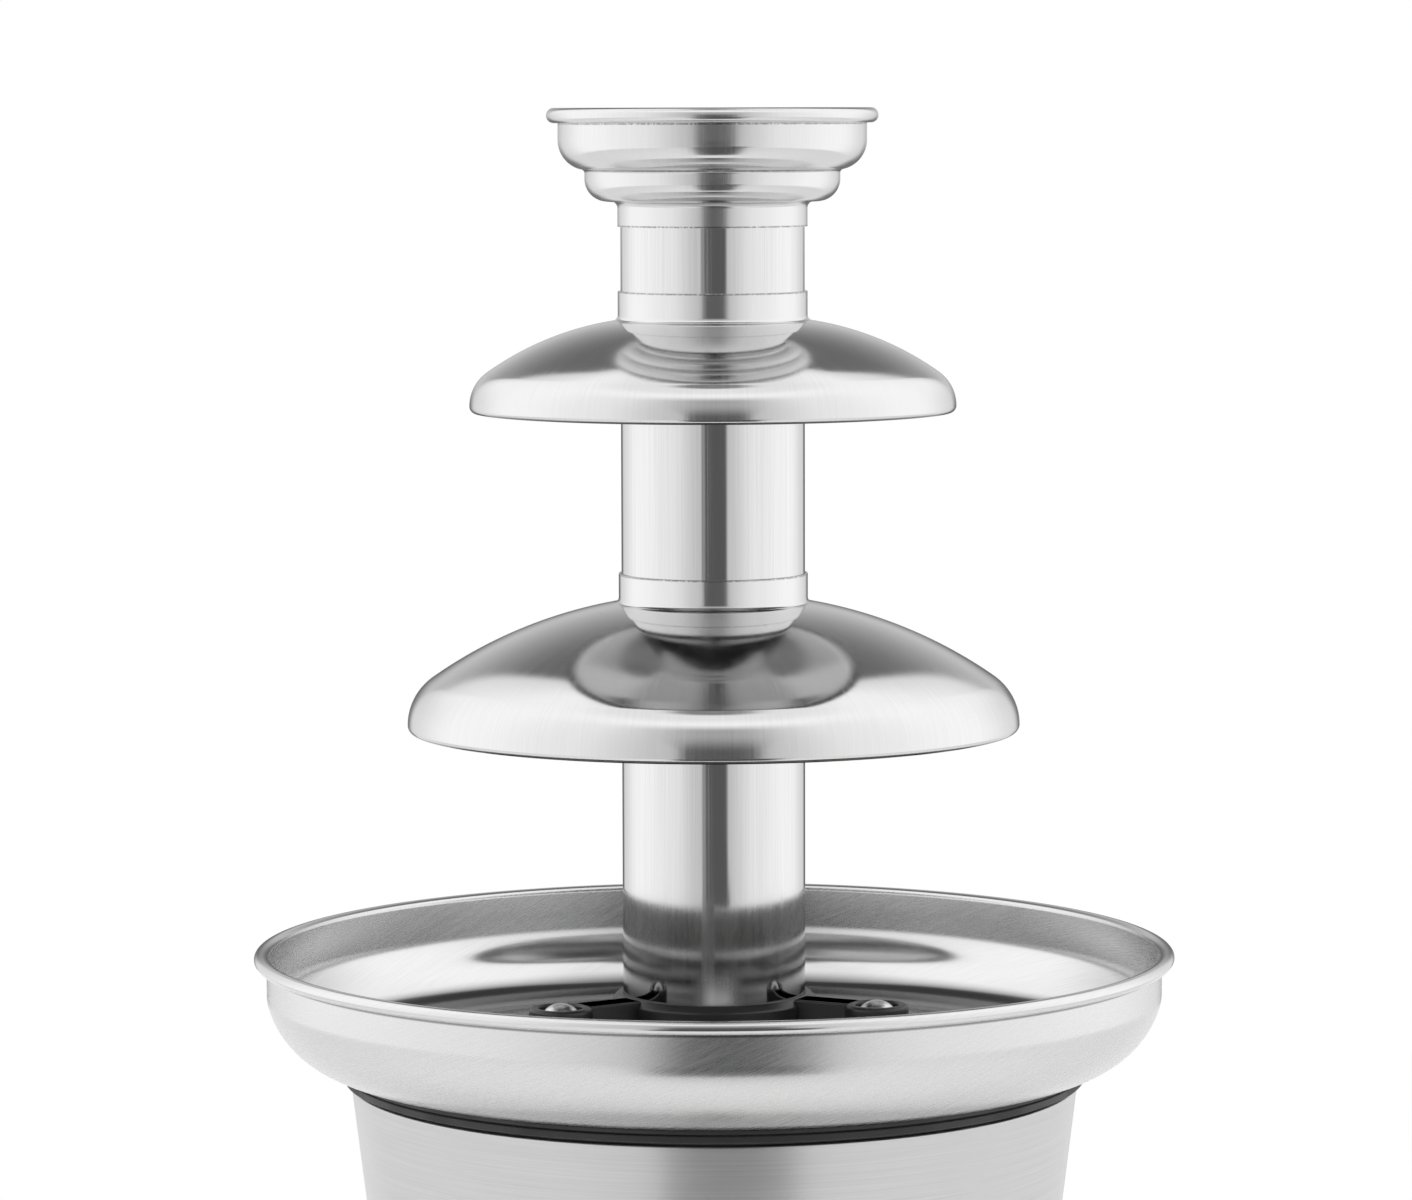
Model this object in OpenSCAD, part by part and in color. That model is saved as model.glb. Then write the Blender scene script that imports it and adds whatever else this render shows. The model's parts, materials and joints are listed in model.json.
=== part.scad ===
// Chocolate fountain: a motor base with a heated bowl and a lift-off tower of tiers round an auger.
// Millimetres, +Z up, origin on the table under the tower's axis, front of the base towards -Y.

/* [Fits] */
// Radial gap of a turning shaft in its bush
run_gap = 0.04; // [0.01:0.01:0.1]
// Gap where a part is pressed or screwed in for good
press_gap = 0.02; // [0.01:0.01:0.05]
// Radial gap where a part is slipped on by hand
slip_gap = 0.1; // [0.05:0.01:0.3]
// Height gap under a part that lifts off its seat
seat_gap = 0.3; // [0.2:0.05:0.6]
// Radial gap of a screw in a plain hole
bolt_gap = 0.25; // [0.1:0.05:0.5]
// Gap between neighbours that must not touch
side_gap = 0.4; // [0.3:0.05:0.8]

/* [Tower tube] */
// Outside diameter of the tube
tube_d = 45; // [38:0.5:52]
// Wall of the tube
tube_t = 0.8; // [0.5:0.1:1.2]
// Length of the tube
tube_len = 199.7; // [185:0.1:230]
// Height of the lower tier's seat above the tube's foot
lower_seat_rise = 92.7; // [85:0.1:100]
// Height of the upper tier's seat above the lower one
tier_pitch = 69.1; // [60:0.1:80]
// Radius of the round pips that carry a tier
pip_r = 1.5; // [1.2:0.1:2]
// Height of a pip above the tube's outside
pip_proud = 0.9; // [0.8:0.05:1.1]

/* [Tiers] */
// Sheet of the domes
dome_t = 0.7; // [0.5:0.1:1.2]
// Wall of a tier's sleeve
sleeve_t = 0.6; // [0.4:0.1:1]
// Length of a tier's sleeve
sleeve_len = 16; // [13:0.5:20]
// Fillet between a collar and its dome
neck_fillet = 1.5; // [1:0.1:2.5]
// Radius of the curled rim of a dome
hem_r = 1.6; // [1.2:0.1:2.5]
// Angle that the rim curls in past upright
hem_turn = 62; // [40:1:80]
// Widest diameter of the upper dome
upper_dome_d = 119.1; // [105:0.1:130]
// Shoulder radius of the upper dome
upper_shoulder_r = 10; // [7:0.1:13]
// Slope of the upper dome at its collar
upper_neck_slope = 8.9; // [4:0.1:14]
// Slope of the upper dome where its shoulder starts
upper_shoulder_slope = 35.5; // [30:0.1:42]
// Height of the upper collar above its dome
upper_collar_h = 7.3; // [5:0.1:9]
// Widest diameter of the lower dome
lower_dome_d = 150.3; // [135:0.1:165]
// Shoulder radius of the lower dome
lower_shoulder_r = 13.4; // [10:0.1:17]
// Slope of the lower dome at its collar
lower_neck_slope = 10.1; // [5:0.1:15]
// Slope of the lower dome where its shoulder starts
lower_shoulder_slope = 35; // [30:0.1:42]
// Height of the lower collar above its dome
lower_collar_h = 7.4; // [5:0.1:9]

/* [Crown] */
// Sheet of the crown
crown_t = 0.6; // [0.4:0.1:0.9]
// Length of neck below the tube's top edge
crown_overlap = 6.2; // [5:0.1:9]
// Height of the straight neck
crown_neck_h = 4.5; // [3:0.1:6]
// Fillet above the neck
crown_neck_fillet = 1.6; // [1:0.1:2.5]
// Outside diameter of the lower step
crown_step_d = 62.4; // [58:0.1:68]
// Corner radius of the lower step
crown_step_r = 5.5; // [4:0.1:6.5]
// Height of the upright wall of the step
crown_step_h = 1.4; // [1:0.1:4]
// Fillet in the crease over the step
crown_crease = 0.9; // [0.8:0.1:1.5]
// Outside diameter of the cup
crown_cup_d = 75.4; // [72:0.1:84]
// Corner radius of the cup
crown_cup_r = 7.3; // [5:0.1:8.5]
// Height of the cup's upright wall up to the bead's middle
crown_cup_h = 6; // [4:0.1:12]
// Radius of the rolled rim
crown_bead_r = 1.85; // [1.4:0.05:2.4]
// How far the rim's middle lies outside the wall
crown_bead_out = 0.95; // [0.5:0.05:1.2]
// Width of the three inner tabs that rest on the tube
crown_tab_w = 4; // [3:0.5:6]
// Height of the tabs
crown_tab_h = 2.2; // [1.5:0.1:3]

/* [Auger] */
// Radial gap between the screw and the tube
auger_gap = 0.5; // [0.3:0.1:1]
// Diameter of the auger's core
auger_core_d = 18; // [16:0.5:22]
// Rise of the screw in one turn
auger_pitch = 32; // [24:1:40]
// Thickness of the screw's flight
auger_flight_t = 2.4; // [1.6:0.1:3.2]
// Distance of the auger's top below the tube's top
auger_top_drop = 3; // [1:0.5:8]

/* [Hub] */
// Height of the hub's top above the bowl's floor
hub_rise = 16.5; // [15:0.1:22]
// Depth of the tube's socket in the hub
hub_socket = 5; // [4:0.1:7.5]
// Ledge under the tube's foot
hub_ledge = 2; // [1.5:0.1:3]
// Radial wall of the hub's ring round the tube
hub_ring_t = 2.7; // [2.2:0.1:6]
// Height of the bevel round the ring's top
hub_bevel_h = 1.6; // [0.8:0.1:2.5]
// Wall of the ring at its bevelled top
hub_top_t = 1.2; // [0.8:0.1:2]
// Distance of the posts from the axis
post_ring_r = 44.4; // [42:0.1:48]
// Angle of the first post
post_angle = -27; // [-60:0.5:60]
// Outside diameter of an eye
eye_d = 15.5; // [15:0.1:18]
// Hole in an eye
eye_bore = 10.7; // [10:0.1:11.5]
// Width of an arm
arm_w = 7.4; // [6:0.1:11]
// Height of an arm
arm_h = 7; // [5:0.1:8]
// Rib left round an arm's pocket
arm_rib = 1.3; // [1:0.1:2]
// Depth of an arm's pocket
arm_pocket = 3.5; // [2:0.1:4.5]

/* [Posts] */
// Diameter of a post
post_d = 8.7; // [7.5:0.1:9.2]
// Height of a post above the hub
post_proud = 1; // [0.3:0.1:2]
// Height of a post's domed end
post_dome_h = 2.2; // [1.5:0.1:3]
// Diameter of the post's foot flange
post_foot_d = 14; // [12.5:0.1:15]
// Thickness of the post's foot flange
post_foot_h = 2; // [1.5:0.1:3]
// Diameter of the post's stud
stud_d = 5; // [4:0.1:6]
// Width of the post nuts across flats
post_nut_af = 8; // [7.5:0.1:10]
// Height of the post nuts
post_nut_h = 4; // [3:0.1:5]
// Outside diameter of the spacers on the studs
spacer_d = 9; // [8:0.1:11]

/* [Bowl] */
// Sheet of the bowl
bowl_t = 0.8; // [0.6:0.1:1.2]
// Outside diameter of the bowl's wall
bowl_d = 220.4; // [205:0.1:240]
// Depth from the rim's middle to the bowl's underside
bowl_depth = 26.8; // [22:0.1:34]
// Radius of the rolled rim
bowl_bead_r = 2.1; // [1.6:0.1:3]
// How far the rim's middle lies outside the wall
bowl_bead_out = 0.97; // [0.5:0.01:1.3]
// Radius where the wall starts to turn in
bowl_shoulder_r = 10; // [6:0.5:14]
// Angle turned through at that radius
bowl_shoulder_turn = 17; // [10:1:25]
// Radius of the bowl's lower corner
bowl_corner_r = 22; // [17:0.5:24]

/* [Shaft seal] */
// Diameter of the drive shaft
drive_d = 8; // [7:0.1:9]
// Width across the two flats of its upper end
drive_flat = 6; // [5:0.1:6.5]
// Height of the flats above the bush
drive_flat_h = 16; // [12:0.5:20]
// Barrel diameter of the bush in the bowl's floor
bush_d = 15.8; // [14:0.1:17]
// Flange diameter of that bush
bush_flange_d = 22; // [20:0.1:26]
// Flange height of that bush
bush_flange_h = 2.5; // [2:0.1:4]
// Length of barrel under the bowl
bush_tail = 9; // [7:0.1:10]
// Outside diameter of the lip seal
seal_d = 13; // [11.5:0.1:13.4]
// Height of the lip seal
seal_h = 3; // [2:0.1:4]
// Width of the bush's nut across flats
bush_nut_af = 22; // [20:0.1:26]
// Height of the bush's nut
bush_nut_h = 5; // [4:0.1:6.5]

/* [Heater] */
// Thickness of the heat spreader under the bowl
spreader_t = 6; // [5:0.1:8]
// Inner radius of the spreader
spreader_ri = 30; // [27:0.5:33]
// Outer radius of the spreader
spreader_ro = 66; // [64:0.5:68]
// Radius of the heater's ring
heater_r = 57; // [55.5:0.1:58.5]
// Diameter of the heater's tube
heater_d = 6.4; // [5.5:0.1:7.5]
// Angle that the heater's ring leaves open
heater_open = 40; // [30:1:60]
// Length of the heater's two cold ends
heater_tail = 5; // [3:0.1:6]
// Diameter of those cold ends
heater_pin_d = 4.2; // [3:0.1:5]
// Sheet of the ring that clamps the heater
clamp_t = 1.2; // [0.8:0.1:2]
// Width of the clamp ring inside its spacers
clamp_lug = 1.5; // [1:0.1:3]
// Height of the spacers under the clamp ring
spacer_h = 5; // [4.5:0.1:8]
// Body diameter of the thermostat
stat_d = 16; // [14:0.1:18]
// Body height of the thermostat
stat_h = 7.5; // [6:0.1:8.5]
// Distance of the thermostat from the axis
stat_ring_r = 42; // [40:0.1:43]
// Distance of the thermostat's screws outside its body
stat_ear_out = 3.5; // [3:0.1:5]
// Thickness of the thermostat's ears
stat_ear_t = 1; // [0.8:0.1:1.5]
// Diameter of the thermostat's screws
stat_screw_d = 3; // [2.5:0.1:3.5]
// Depth of their holes in the spreader
stat_screw_bite = 3; // [2:0.1:4.5]
// Diameter of the thermal fuse
fuse_d = 4; // [3:0.1:5]
// Length of the thermal fuse
fuse_len = 11; // [9:0.1:14]
// Diameter of the fuse's leads
fuse_lead_d = 1.3; // [0.8:0.1:2]
// Length of a lead
fuse_lead = 5.5; // [4:0.1:8]

/* [Housing] */
// Diameter of the housing at its top edge
housing_top_d = 179.2; // [170:0.1:190]
// Diameter of the housing at its lower edge
housing_foot_d = 153.3; // [145:0.1:165]
// Height of the housing
housing_h = 106.5; // [100:0.1:130]
// Sheet of the housing
housing_t = 0.8; // [0.6:0.1:1.5]
// Radius of the housing's upper edge
housing_edge_r = 0.9; // [0.9:0.1:3]
// Width of the flange that carries the bowl
housing_flange = 17; // [14:0.1:19]
// Width of a screw tab inside the housing
tab_w = 14; // [11:0.1:18]
// Reach of a screw tab
tab_reach = 13; // [11:0.1:16]
// Thickness of a screw tab
tab_t = 1.6; // [1.2:0.1:2.4]
// Height of the tabs above the base plate
tab_rise = 8; // [6:0.1:12]
// Distance of a tab's hole from its inner edge
tab_hole_in = 5.5; // [4.5:0.1:6.5]

/* [Gasket] */
// Height of the gasket between bowl and housing
gasket_h = 4.7; // [4:0.1:6]
// How far the gasket stands out past the housing's edge
gasket_out = 2.9; // [1.5:0.1:4]
// Radial width of the gasket
gasket_w = 14; // [10:0.1:16]
// Depth of the groove round the gasket
gasket_groove = 0.5; // [0.3:0.1:1]
// Height of that groove
gasket_groove_w = 0.6; // [0.4:0.1:1]
// Distance of the groove below the gasket's top
gasket_lip_h = 1.2; // [0.8:0.1:1.6]
// Undercut at the gasket's lower edge
gasket_undercut = 1.3; // [0.8:0.1:2]
// Height of the undercut
gasket_undercut_h = 0.8; // [0.4:0.1:1.2]
// Height of the bevel above the undercut
gasket_bevel_h = 0.4; // [0.2:0.1:0.8]

/* [Pan] */
// Sheet of the pan that clamps housing and bowl
pan_t = 1.2; // [0.8:0.1:2]
// Width of the pan's bearing rim under the flange
pan_rim = 8; // [6:0.1:10]
// Run of the pan's sloping side
pan_slope = 4; // [2:0.1:6]

/* [Base] */
// Thickness of the base plate
base_t = 2.5; // [2:0.1:4]
// How far the plate stands out past the housing
base_lip = 0.8; // [0.4:0.1:2]
// Height of the plate's inner spigot
spigot_h = 5; // [4:0.1:6]
// Wall of the spigot
spigot_t = 2; // [1.5:0.1:3]
// Height of the feet
foot_h = 6; // [4:0.1:10]
// Diameter of the feet
foot_d = 18; // [14:0.1:22]
// Radius of the ring of feet
foot_ring_r = 58; // [52:0.1:60]
// Diameter of a foot's stem in the plate
foot_stem_d = 8; // [6:0.1:9]
// Bevel of a foot and of its barb
foot_edge = 1; // [0.6:0.1:1.5]
// Diameter of the base screws
base_screw_d = 4; // [3:0.1:4.5]
// Wall of the bosses round the base screws
base_boss_t = 2.5; // [2:0.1:3.5]
// Width of the vents under the fan
vent_w = 2.4; // [1.6:0.1:2.5]
// Length of the vents
vent_len = 8; // [6:0.1:12]
// Radius where the vents start
vent_ri = 5; // [5:0.1:8]

/* [Gears] */
// Module of the gears
gear_m = 0.8; // [0.75:0.01:0.9]
// Teeth of both pinions
pinion_teeth = 12; // [12:1:14]
// Teeth of the output gear
output_teeth = 52; // [48:1:56]
// Pressure angle of the teeth
gear_angle = 25; // [24:0.5:26]
// Play between the teeth at the pitch circle
gear_play = 0.16; // [0.12:0.01:0.24]
// Face width of the upper gear layer
wheel_w = 6; // [5:0.1:8]
// Face width of the lower gear layer
output_w = 7; // [5:0.1:9]
// Height gap between gears, lid and floor
gear_gap = 1; // [0.6:0.1:1.5]
// Gap between the drive shaft and the idler's teeth
shaft_clear = 0.8; // [0.6:0.1:1.2]
// Diameter of the idler's axle
axle_d = 4; // [3:0.1:4.4]

/* [Gearbox] */
// Gap between the gear tips and the case
case_gap = 2; // [1.5:0.1:3]
// Wall of the case
case_t = 2.5; // [2:0.1:3.5]
// Floor of the case
case_floor = 4; // [3:0.1:6]
// Thickness of the lid
lid_t = 3; // [2:0.1:4]
// Diameter of the gearbox screws
case_screw_d = 3; // [2.5:0.1:3.5]
// Radius of the bosses that take them
case_boss_r = 4; // [3.5:0.1:5]
// Length of a gearbox screw in its boss
case_screw_bite = 12; // [8:0.5:14]
// Length of the standoffs that hang the gearbox
standoff_h = 9; // [8.5:0.1:12]
// Width of the standoffs across flats
standoff_af = 8; // [7:0.1:9]
// Diameter of the standoffs' screws and studs
standoff_screw_d = 4; // [3:0.1:4.4]
// Depth of the tapped hole in a standoff
standoff_hole = 7; // [5:0.1:7.5]
// Distance of the right-hand standoffs from the axis
standoff_x = 11.2; // [9:0.1:13]
// Distance of those standoffs from the middle line
standoff_y = 15; // [13:0.1:16]
// Distance of the third standoff past the idler
standoff_left = 14; // [11:0.1:16]
// Distance of the third standoff in front of the idler
standoff_front = 6; // [4:0.1:9]
// Wall of the bushes for the drive and motor shafts
bush_t = 2.5; // [2:0.1:3]

/* [Motor] */
// Diameter of the motor's shaft
motor_shaft_d = 5; // [4:0.1:5.4]
// Diameter of the rotor
rotor_d = 21.4; // [19:0.1:23]
// Length of rotor past each end of the stack
rotor_over = 1; // [0.5:0.1:2]
// Air gap round the rotor
air_gap = 0.3; // [0.25:0.05:0.5]
// Height of the stack of laminations
core_h = 20; // [16:0.5:24]
// Width of the laminations
core_w = 48; // [46:0.5:54]
// Width of the core between rotor bore and edge
core_band = 4; // [3:0.1:5]
// Width of the window for the coil
window_w = 28; // [24:0.5:30]
// Depth of the window for the coil
window_d = 8; // [7:0.1:9]
// Width of the leg inside the coil
leg_w = 8; // [7:0.1:9]
// Gap between the gearbox and the core
motor_drop = 11; // [10.5:0.1:14]
// Spread of the motor's screws
motor_screw_span = 37; // [34:0.5:40]
// Diameter of the motor's screws
motor_screw_d = 4; // [3:0.1:4.4]
// Wall of the columns round the motor's screws
column_t = 2.4; // [2:0.1:3]
// Length of a motor screw in its column
motor_screw_bite = 7; // [5:0.1:8.5]
// Thickness of the lower bracket's strap
strap_t = 3; // [2.5:0.1:4]
// Width of the lower bracket's strap
strap_w = 13; // [12:0.1:16]
// Height of the columns between strap and core
strap_rise = 6; // [5:0.1:8]
// Wall of the coil's bobbin
bobbin_t = 1.2; // [0.8:0.1:1.6]
// Thickness of the winding on the bobbin
winding_t = 4.6; // [3.5:0.1:5]
// Radius of the fan
fan_r = 18; // [14:0.5:20]
// Height of the fan
fan_h = 8; // [6:0.1:9]
// Number of blades
fan_blades = 7; // [5:1:9]
// Diameter of the fan's hub
fan_hub_d = 10; // [8:0.1:12]
// Thickness of a blade
fan_blade_t = 1.2; // [0.8:0.1:1.6]
// Angle of a blade from upright
fan_pitch = 40; // [25:1:55]

/* [Controls] */
// Height of the knob's middle above the table
knob_z = 46; // [36:0.5:56]
// Diameter of the knob
knob_d = 34; // [28:0.5:38]
// Height of the knob
knob_h = 15; // [12:0.5:18]
// Height of the knob's skirt
knob_skirt_h = 5; // [4:0.1:6.5]
// Bevel of the skirt
knob_bevel = 1; // [0.4:0.1:2]
// Diameter of the knob's grip at the skirt
knob_grip_d = 27; // [23:0.5:27.5]
// Diameter of the knob's grip at its end
knob_top_d = 24; // [20:0.5:25]
// Width of the raised mark on the knob
knob_mark_w = 2.4; // [1.6:0.1:4]
// Height of the mark above the skirt
knob_mark_h = 5; // [3:0.1:7]
// Distance of the mark from the skirt's edge
knob_mark_in = 1.7; // [1:0.1:3]
// Gap between knob and housing
knob_gap = 0.8; // [0.5:0.1:1.5]
// Diameter of the switch's spindle
spindle_d = 6; // [5:0.1:6.5]
// Length of spindle in the knob
spindle_bite = 10.5; // [8:0.5:11]
// Diameter of the switch's threaded neck
switch_neck_d = 9; // [8.5:0.1:10]
// Width of the switch's square body
switch_w = 22; // [18:0.5:26]
// Depth of the switch's body
switch_depth = 17; // [14:0.5:20]
// Width of the switch's nut across flats
switch_nut_af = 13; // [12:0.1:14]
// Height of the switch's nut
switch_nut_h = 2.5; // [2:0.1:3.5]
// Diameter of the pilot lamp's lens
lamp_d = 11; // [9:0.1:13]
// Height of the lens
lamp_h = 2.4; // [2:0.1:4]
// Rounding of the lens's edge
lamp_edge = 1.2; // [0.6:0.1:1.8]
// Diameter of the lamp's neck
lamp_neck_d = 8; // [6:0.1:8.5]
// Length of the lamp's neck behind the wall
lamp_neck = 16; // [12:0.5:20]
// Width of the lamp's nut across flats
lamp_nut_af = 11.6; // [11:0.1:14]
// Height of the lamp's nut
lamp_nut_h = 2.5; // [2:0.1:4]
// Free space between knob and lamp
lamp_space = 9; // [5:0.5:15]

/* [Cord inlet] */
// Height of the gland above the table
gland_z = 27; // [24:0.5:34]
// Angle of the gland round the base
gland_angle = 72; // [60:1:76]
// Bore of the gland
gland_bore = 7.2; // [6:0.1:8]
// Diameter of the gland's neck
gland_neck_d = 12; // [11:0.1:14]
// Diameter of the gland's flange
gland_flange_d = 17; // [16:0.1:20]
// Height of the gland outside the wall
gland_out = 5; // [4:0.1:8]
// Length of the gland inside the wall
gland_in = 11; // [10:0.1:14]
// Width of the gland's nut across flats
gland_nut_af = 17; // [16:0.1:19]
// Height of the gland's nut
gland_nut_h = 4; // [3:0.1:6]

/* [Terminal block] */
// Distance of the block from the axis
block_x = 36; // [30:0.5:42]
// Width of the block
block_w = 12; // [10:0.5:15]
// Length of the block
block_len = 30; // [24:0.5:36]
// Height of the block
block_h = 13; // [10:0.5:16]
// Number of ways
block_ways = 3; // [2:1:4]
// Diameter of a way
block_hole_d = 4; // [3:0.1:6]

/* [Hidden] */
$fn = 64;

// Overrun of a cut past the face it opens
cut = 1;
// Reach of a hole's cut to each side of the housing's wall
wall_cut = 5;
// Allowance for rounding in a comparison
tiny = 0.01;
// Steps in a drawn arc
arc_steps = 14;
// Facets of the widest round pieces
wide_fn = 96;
// Width and height of a screw's head and its slot, per diameter of the screw
head_wide = 1.8;
head_high = 0.6;
slot_wide = 0.2;
// Depth of the gap under a tooth, per module, and steps along a tooth's flank
root_depth = 1.25;
flank_steps = 4;

// Heights from the table up
plate_z = foot_h;
housing_z = plate_z + base_t;
deck_z = housing_z + housing_h;
bowl_z = deck_z + gasket_h;
floor_z = bowl_z + bowl_t;
rim_z = bowl_z + bowl_depth;
hub_z = floor_z + hub_rise;
tube_z = hub_z - hub_socket;
tube_top = tube_z + tube_len;
lower_seat_z = tube_z + lower_seat_rise;
upper_seat_z = lower_seat_z + tier_pitch;
bush_top = floor_z + bush_flange_h;

// Heights from the bowl down
spreader_z = bowl_z - spreader_t;
clamp_z = spreader_z - heater_d / 2 - clamp_t;
pan_z = clamp_z - spacer_h - pan_t;
pan_rim_z = deck_z - housing_t - pan_t;
lid_z = pan_z - standoff_h - lid_t;
wheel_z = lid_z - gear_gap - wheel_w;
output_z = wheel_z - gear_gap - output_w;
case_z = output_z - gear_gap - case_floor;
core_z = case_z - motor_drop - core_h;
strap_z = core_z - strap_rise - strap_t;
fan_z = strap_z - head_high * motor_screw_d - gear_gap - fan_h;

// Radii of the tower's fits
tube_r = tube_d / 2;
tube_ri = tube_r - tube_t;
sleeve_ri = tube_r + slip_gap;
sleeve_ro = sleeve_ri + sleeve_t;
pip_centre_r = tube_r + pip_proud - pip_r;
pip_drop = sqrt(pip_r * pip_r - pow(sleeve_ri - pip_centre_r, 2)) + seat_gap;
upper_pips = [30, 90, 150];
lower_pips = [210, 270, 330];
auger_r = tube_ri - auger_gap;
auger_z = bush_top + seat_gap;
auger_top = tube_top - auger_top_drop;
drive_r = drive_d / 2;
drive_top = bush_top + drive_flat_h;

// Gear train: output on the tower's axis, idler to the left, motor behind the idler
pitch_r = function(teeth) gear_m * teeth / 2;
tip_r = function(teeth) pitch_r(teeth) + gear_m;
idler_dist = pitch_r(output_teeth) + pitch_r(pinion_teeth);
wheel_teeth = floor(2 * (idler_dist - drive_r - shaft_clear) / gear_m + tiny) - 2;
motor_dist = pitch_r(wheel_teeth) + pitch_r(pinion_teeth);
idler_at = [-idler_dist, 0];
motor_at = [-idler_dist, motor_dist];

// Housing wall and what lines up with it
foot_r = housing_foot_d / 2;
deck_r = housing_top_d / 2;
taper = atan((deck_r - foot_r) / housing_h);
wall_r = function(z) foot_r + (z - housing_z) * tan(taper);
flange_ri = deck_r - housing_flange;
gasket_ro = deck_r + gasket_out;
tab_angles = [30, 150, 270];
tab_z = housing_z + tab_rise;
tab_hole_r = wall_r(tab_z) - housing_t - tab_reach + tab_hole_in;
foot_angles = [45, 135, 225, 315];
knob_angle = -90;
lamp_angle = knob_angle + (knob_d / 2 + lamp_space + lamp_d / 2) / wall_r(knob_z) * 180 / PI;
post_angles = [for (i = [0:2]) post_angle + 120 * i];
stat_angle = post_angle + 60;
fuse_angle = post_angle - 60;
pin_angle = heater_open / 2 + (heater_pin_d / 2 + side_gap) / heater_r * 180 / PI;

steel = [0.80, 0.80, 0.81];
dark_steel = [0.45, 0.46, 0.48];
core_steel = [0.42, 0.43, 0.45];
alloy = [0.62, 0.63, 0.65];
copper = [0.72, 0.40, 0.20];
bronze = [0.72, 0.55, 0.30];
black = [0.10, 0.10, 0.11];
white_plastic = [0.93, 0.93, 0.90];
red_plastic = [0.75, 0.12, 0.08];

// Point at angle a and radius r
function polar(r, a) = r * [cos(a), sin(a)];

// Points of an arc about c from angle a0 to a1
function arc(c, r, a0, a1) = [for (i = [0:arc_steps]) c + polar(r, a0 + (a1 - a0) * i / arc_steps)];

// The same path set over by d to its right-hand side
function set_over(p, d) = [for (i = [0:len(p) - 1])
  let (t = p[min(i + 1, len(p) - 1)] - p[max(i - 1, 0)])
  p[i] + d * [t.y, -t.x] / norm(t)];

function reversed(p) = [for (i = [len(p) - 1:-1:0]) p[i]];

// The same path without points that repeat the one before
function distinct(p) = [for (i = [0:len(p) - 1]) if (i == 0 || norm(p[i] - p[max(i - 1, 0)]) > tiny) p[i]];

// Rolled rim: from the wall's inside face over the top and down to its outside face
function bead(ri, ro, c, r) =
  arc(c, r, 180 - acos(min(1, (c.x - ri) / r)), acos(min(1, (c.x - ro) / r)) - 180);

// S-shaped jog of a wall from radius ra up and out to rb, with a hollow fillet f and a full corner r
function jog_slope(ra, rb, f, r) = asin(1 - min(1, (rb - ra) / (f + r)));
function jog_rise(ra, rb, f, r) = (f + r) * cos(jog_slope(ra, rb, f, r));
function jog(ra, rb, z, f, r) = let (s = jog_slope(ra, rb, f, r))
  concat(arc([ra + f, z], f, 180, 90 + s), arc([rb - r, z + jog_rise(ra, rb, f, r)], r, s - 90, 0));

// Radius where a dome of slope a0 at its collar leaves the collar's fillet
function neck_r(a0) = sleeve_ro + neck_fillet * (1 - sin(a0));

// Outside of a dome from its collar's top edge down to its curled rim
function dome_path(rim_r, z, shoulder_r, a0, a1, collar_h) =
  let (r1 = rim_r - shoulder_r * (1 - sin(a1)))
  let (dome_r = (r1 - neck_r(a0)) / (sin(a1) - sin(a0)))
  let (top = z - collar_h)
  let (centre = [neck_r(a0), top] - dome_r * [sin(a0), cos(a0)])
  let (shoulder = centre + (dome_r - shoulder_r) * [sin(a1), cos(a1)])
  let (fillet = [sleeve_ro + neck_fillet, top + neck_fillet * cos(a0)])
  distinct(concat([[sleeve_ro, z]], arc(fillet, neck_fillet, 180, 270 - a0),
    arc(centre, dome_r, 90 - a0, 90 - a1), arc(shoulder, shoulder_r, 90 - a1, 0),
    arc(shoulder + [shoulder_r - hem_r, 0], hem_r, 0, -hem_turn)));

// Involute teeth: half the angle of a tooth at radius r
function inv(a) = tan(a) - a * PI / 180;
function half_tooth(teeth, r) = let (rp = pitch_r(teeth))
  90 / teeth - gear_play / rp * 45 / PI
  + (inv(gear_angle) - inv(acos(min(1, rp * cos(gear_angle) / r)))) * 180 / PI;

// Outline of a gear with a tooth at angle phase
function gear_points(teeth, phase) =
  let (root = pitch_r(teeth) - root_depth * gear_m, base = max(root, pitch_r(teeth) * cos(gear_angle)))
  let (flank = [for (k = [0:flank_steps]) base + (tip_r(teeth) - base) * k / flank_steps])
  [for (i = [0:teeth - 1]) let (a = phase + 360 * i / teeth, h = half_tooth(teeth, base))
    each concat([polar(root, a - h)], [for (r = flank) polar(r, a - half_tooth(teeth, r))],
      [for (r = reversed(flank)) polar(r, a + half_tooth(teeth, r))], [polar(root, a + h)])];

// Depth of a round wall's curve across a half width w
function sag(w, r) = r - sqrt(r * r - w * w);

// Depth inside the housing's wall at which a flat of half width w meets the wall
function inner_face(w, z) = housing_t + sag(w, wall_r(z) - housing_t) + press_gap;

// Shared shapes
module hole(r, h) translate([0, 0, -cut]) cylinder(r = r, h = h + 2 * cut);

module ring(ro, ri, h) difference() {
  cylinder(r = ro, h = h);
  hole(ri, h);
}

module hex(af, h) cylinder(d = af / cos(30), h = h, $fn = 6);

module hex_nut(af, bore_r, h) difference() {
  hex(af, h);
  hole(bore_r, h);
}

// Slotted screw with its head above z = 0
module screw(d, len) {
  head_d = head_wide * d;
  head_h = head_high * d;
  translate([0, 0, -len]) cylinder(d = d, h = len + head_h / 2);
  difference() {
    cylinder(d = head_d, h = head_h);
    translate([-head_d, -slot_wide * d / 2, head_h / 2]) cube([2 * head_d, slot_wide * d, head_h]);
  }
}

module gear(teeth, phase, w) linear_extrude(w) polygon(gear_points(teeth, phase));

module upside_down() mirror([0, 0, 1]) children();

module at(p, z) translate([p.x, p.y, z]) children();

module at_each(points, z) for (p = points) at(p, z) children();

module at_ring(angles, r, z) for (a = angles) rotate(a) translate([r, 0, z]) children();

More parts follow.
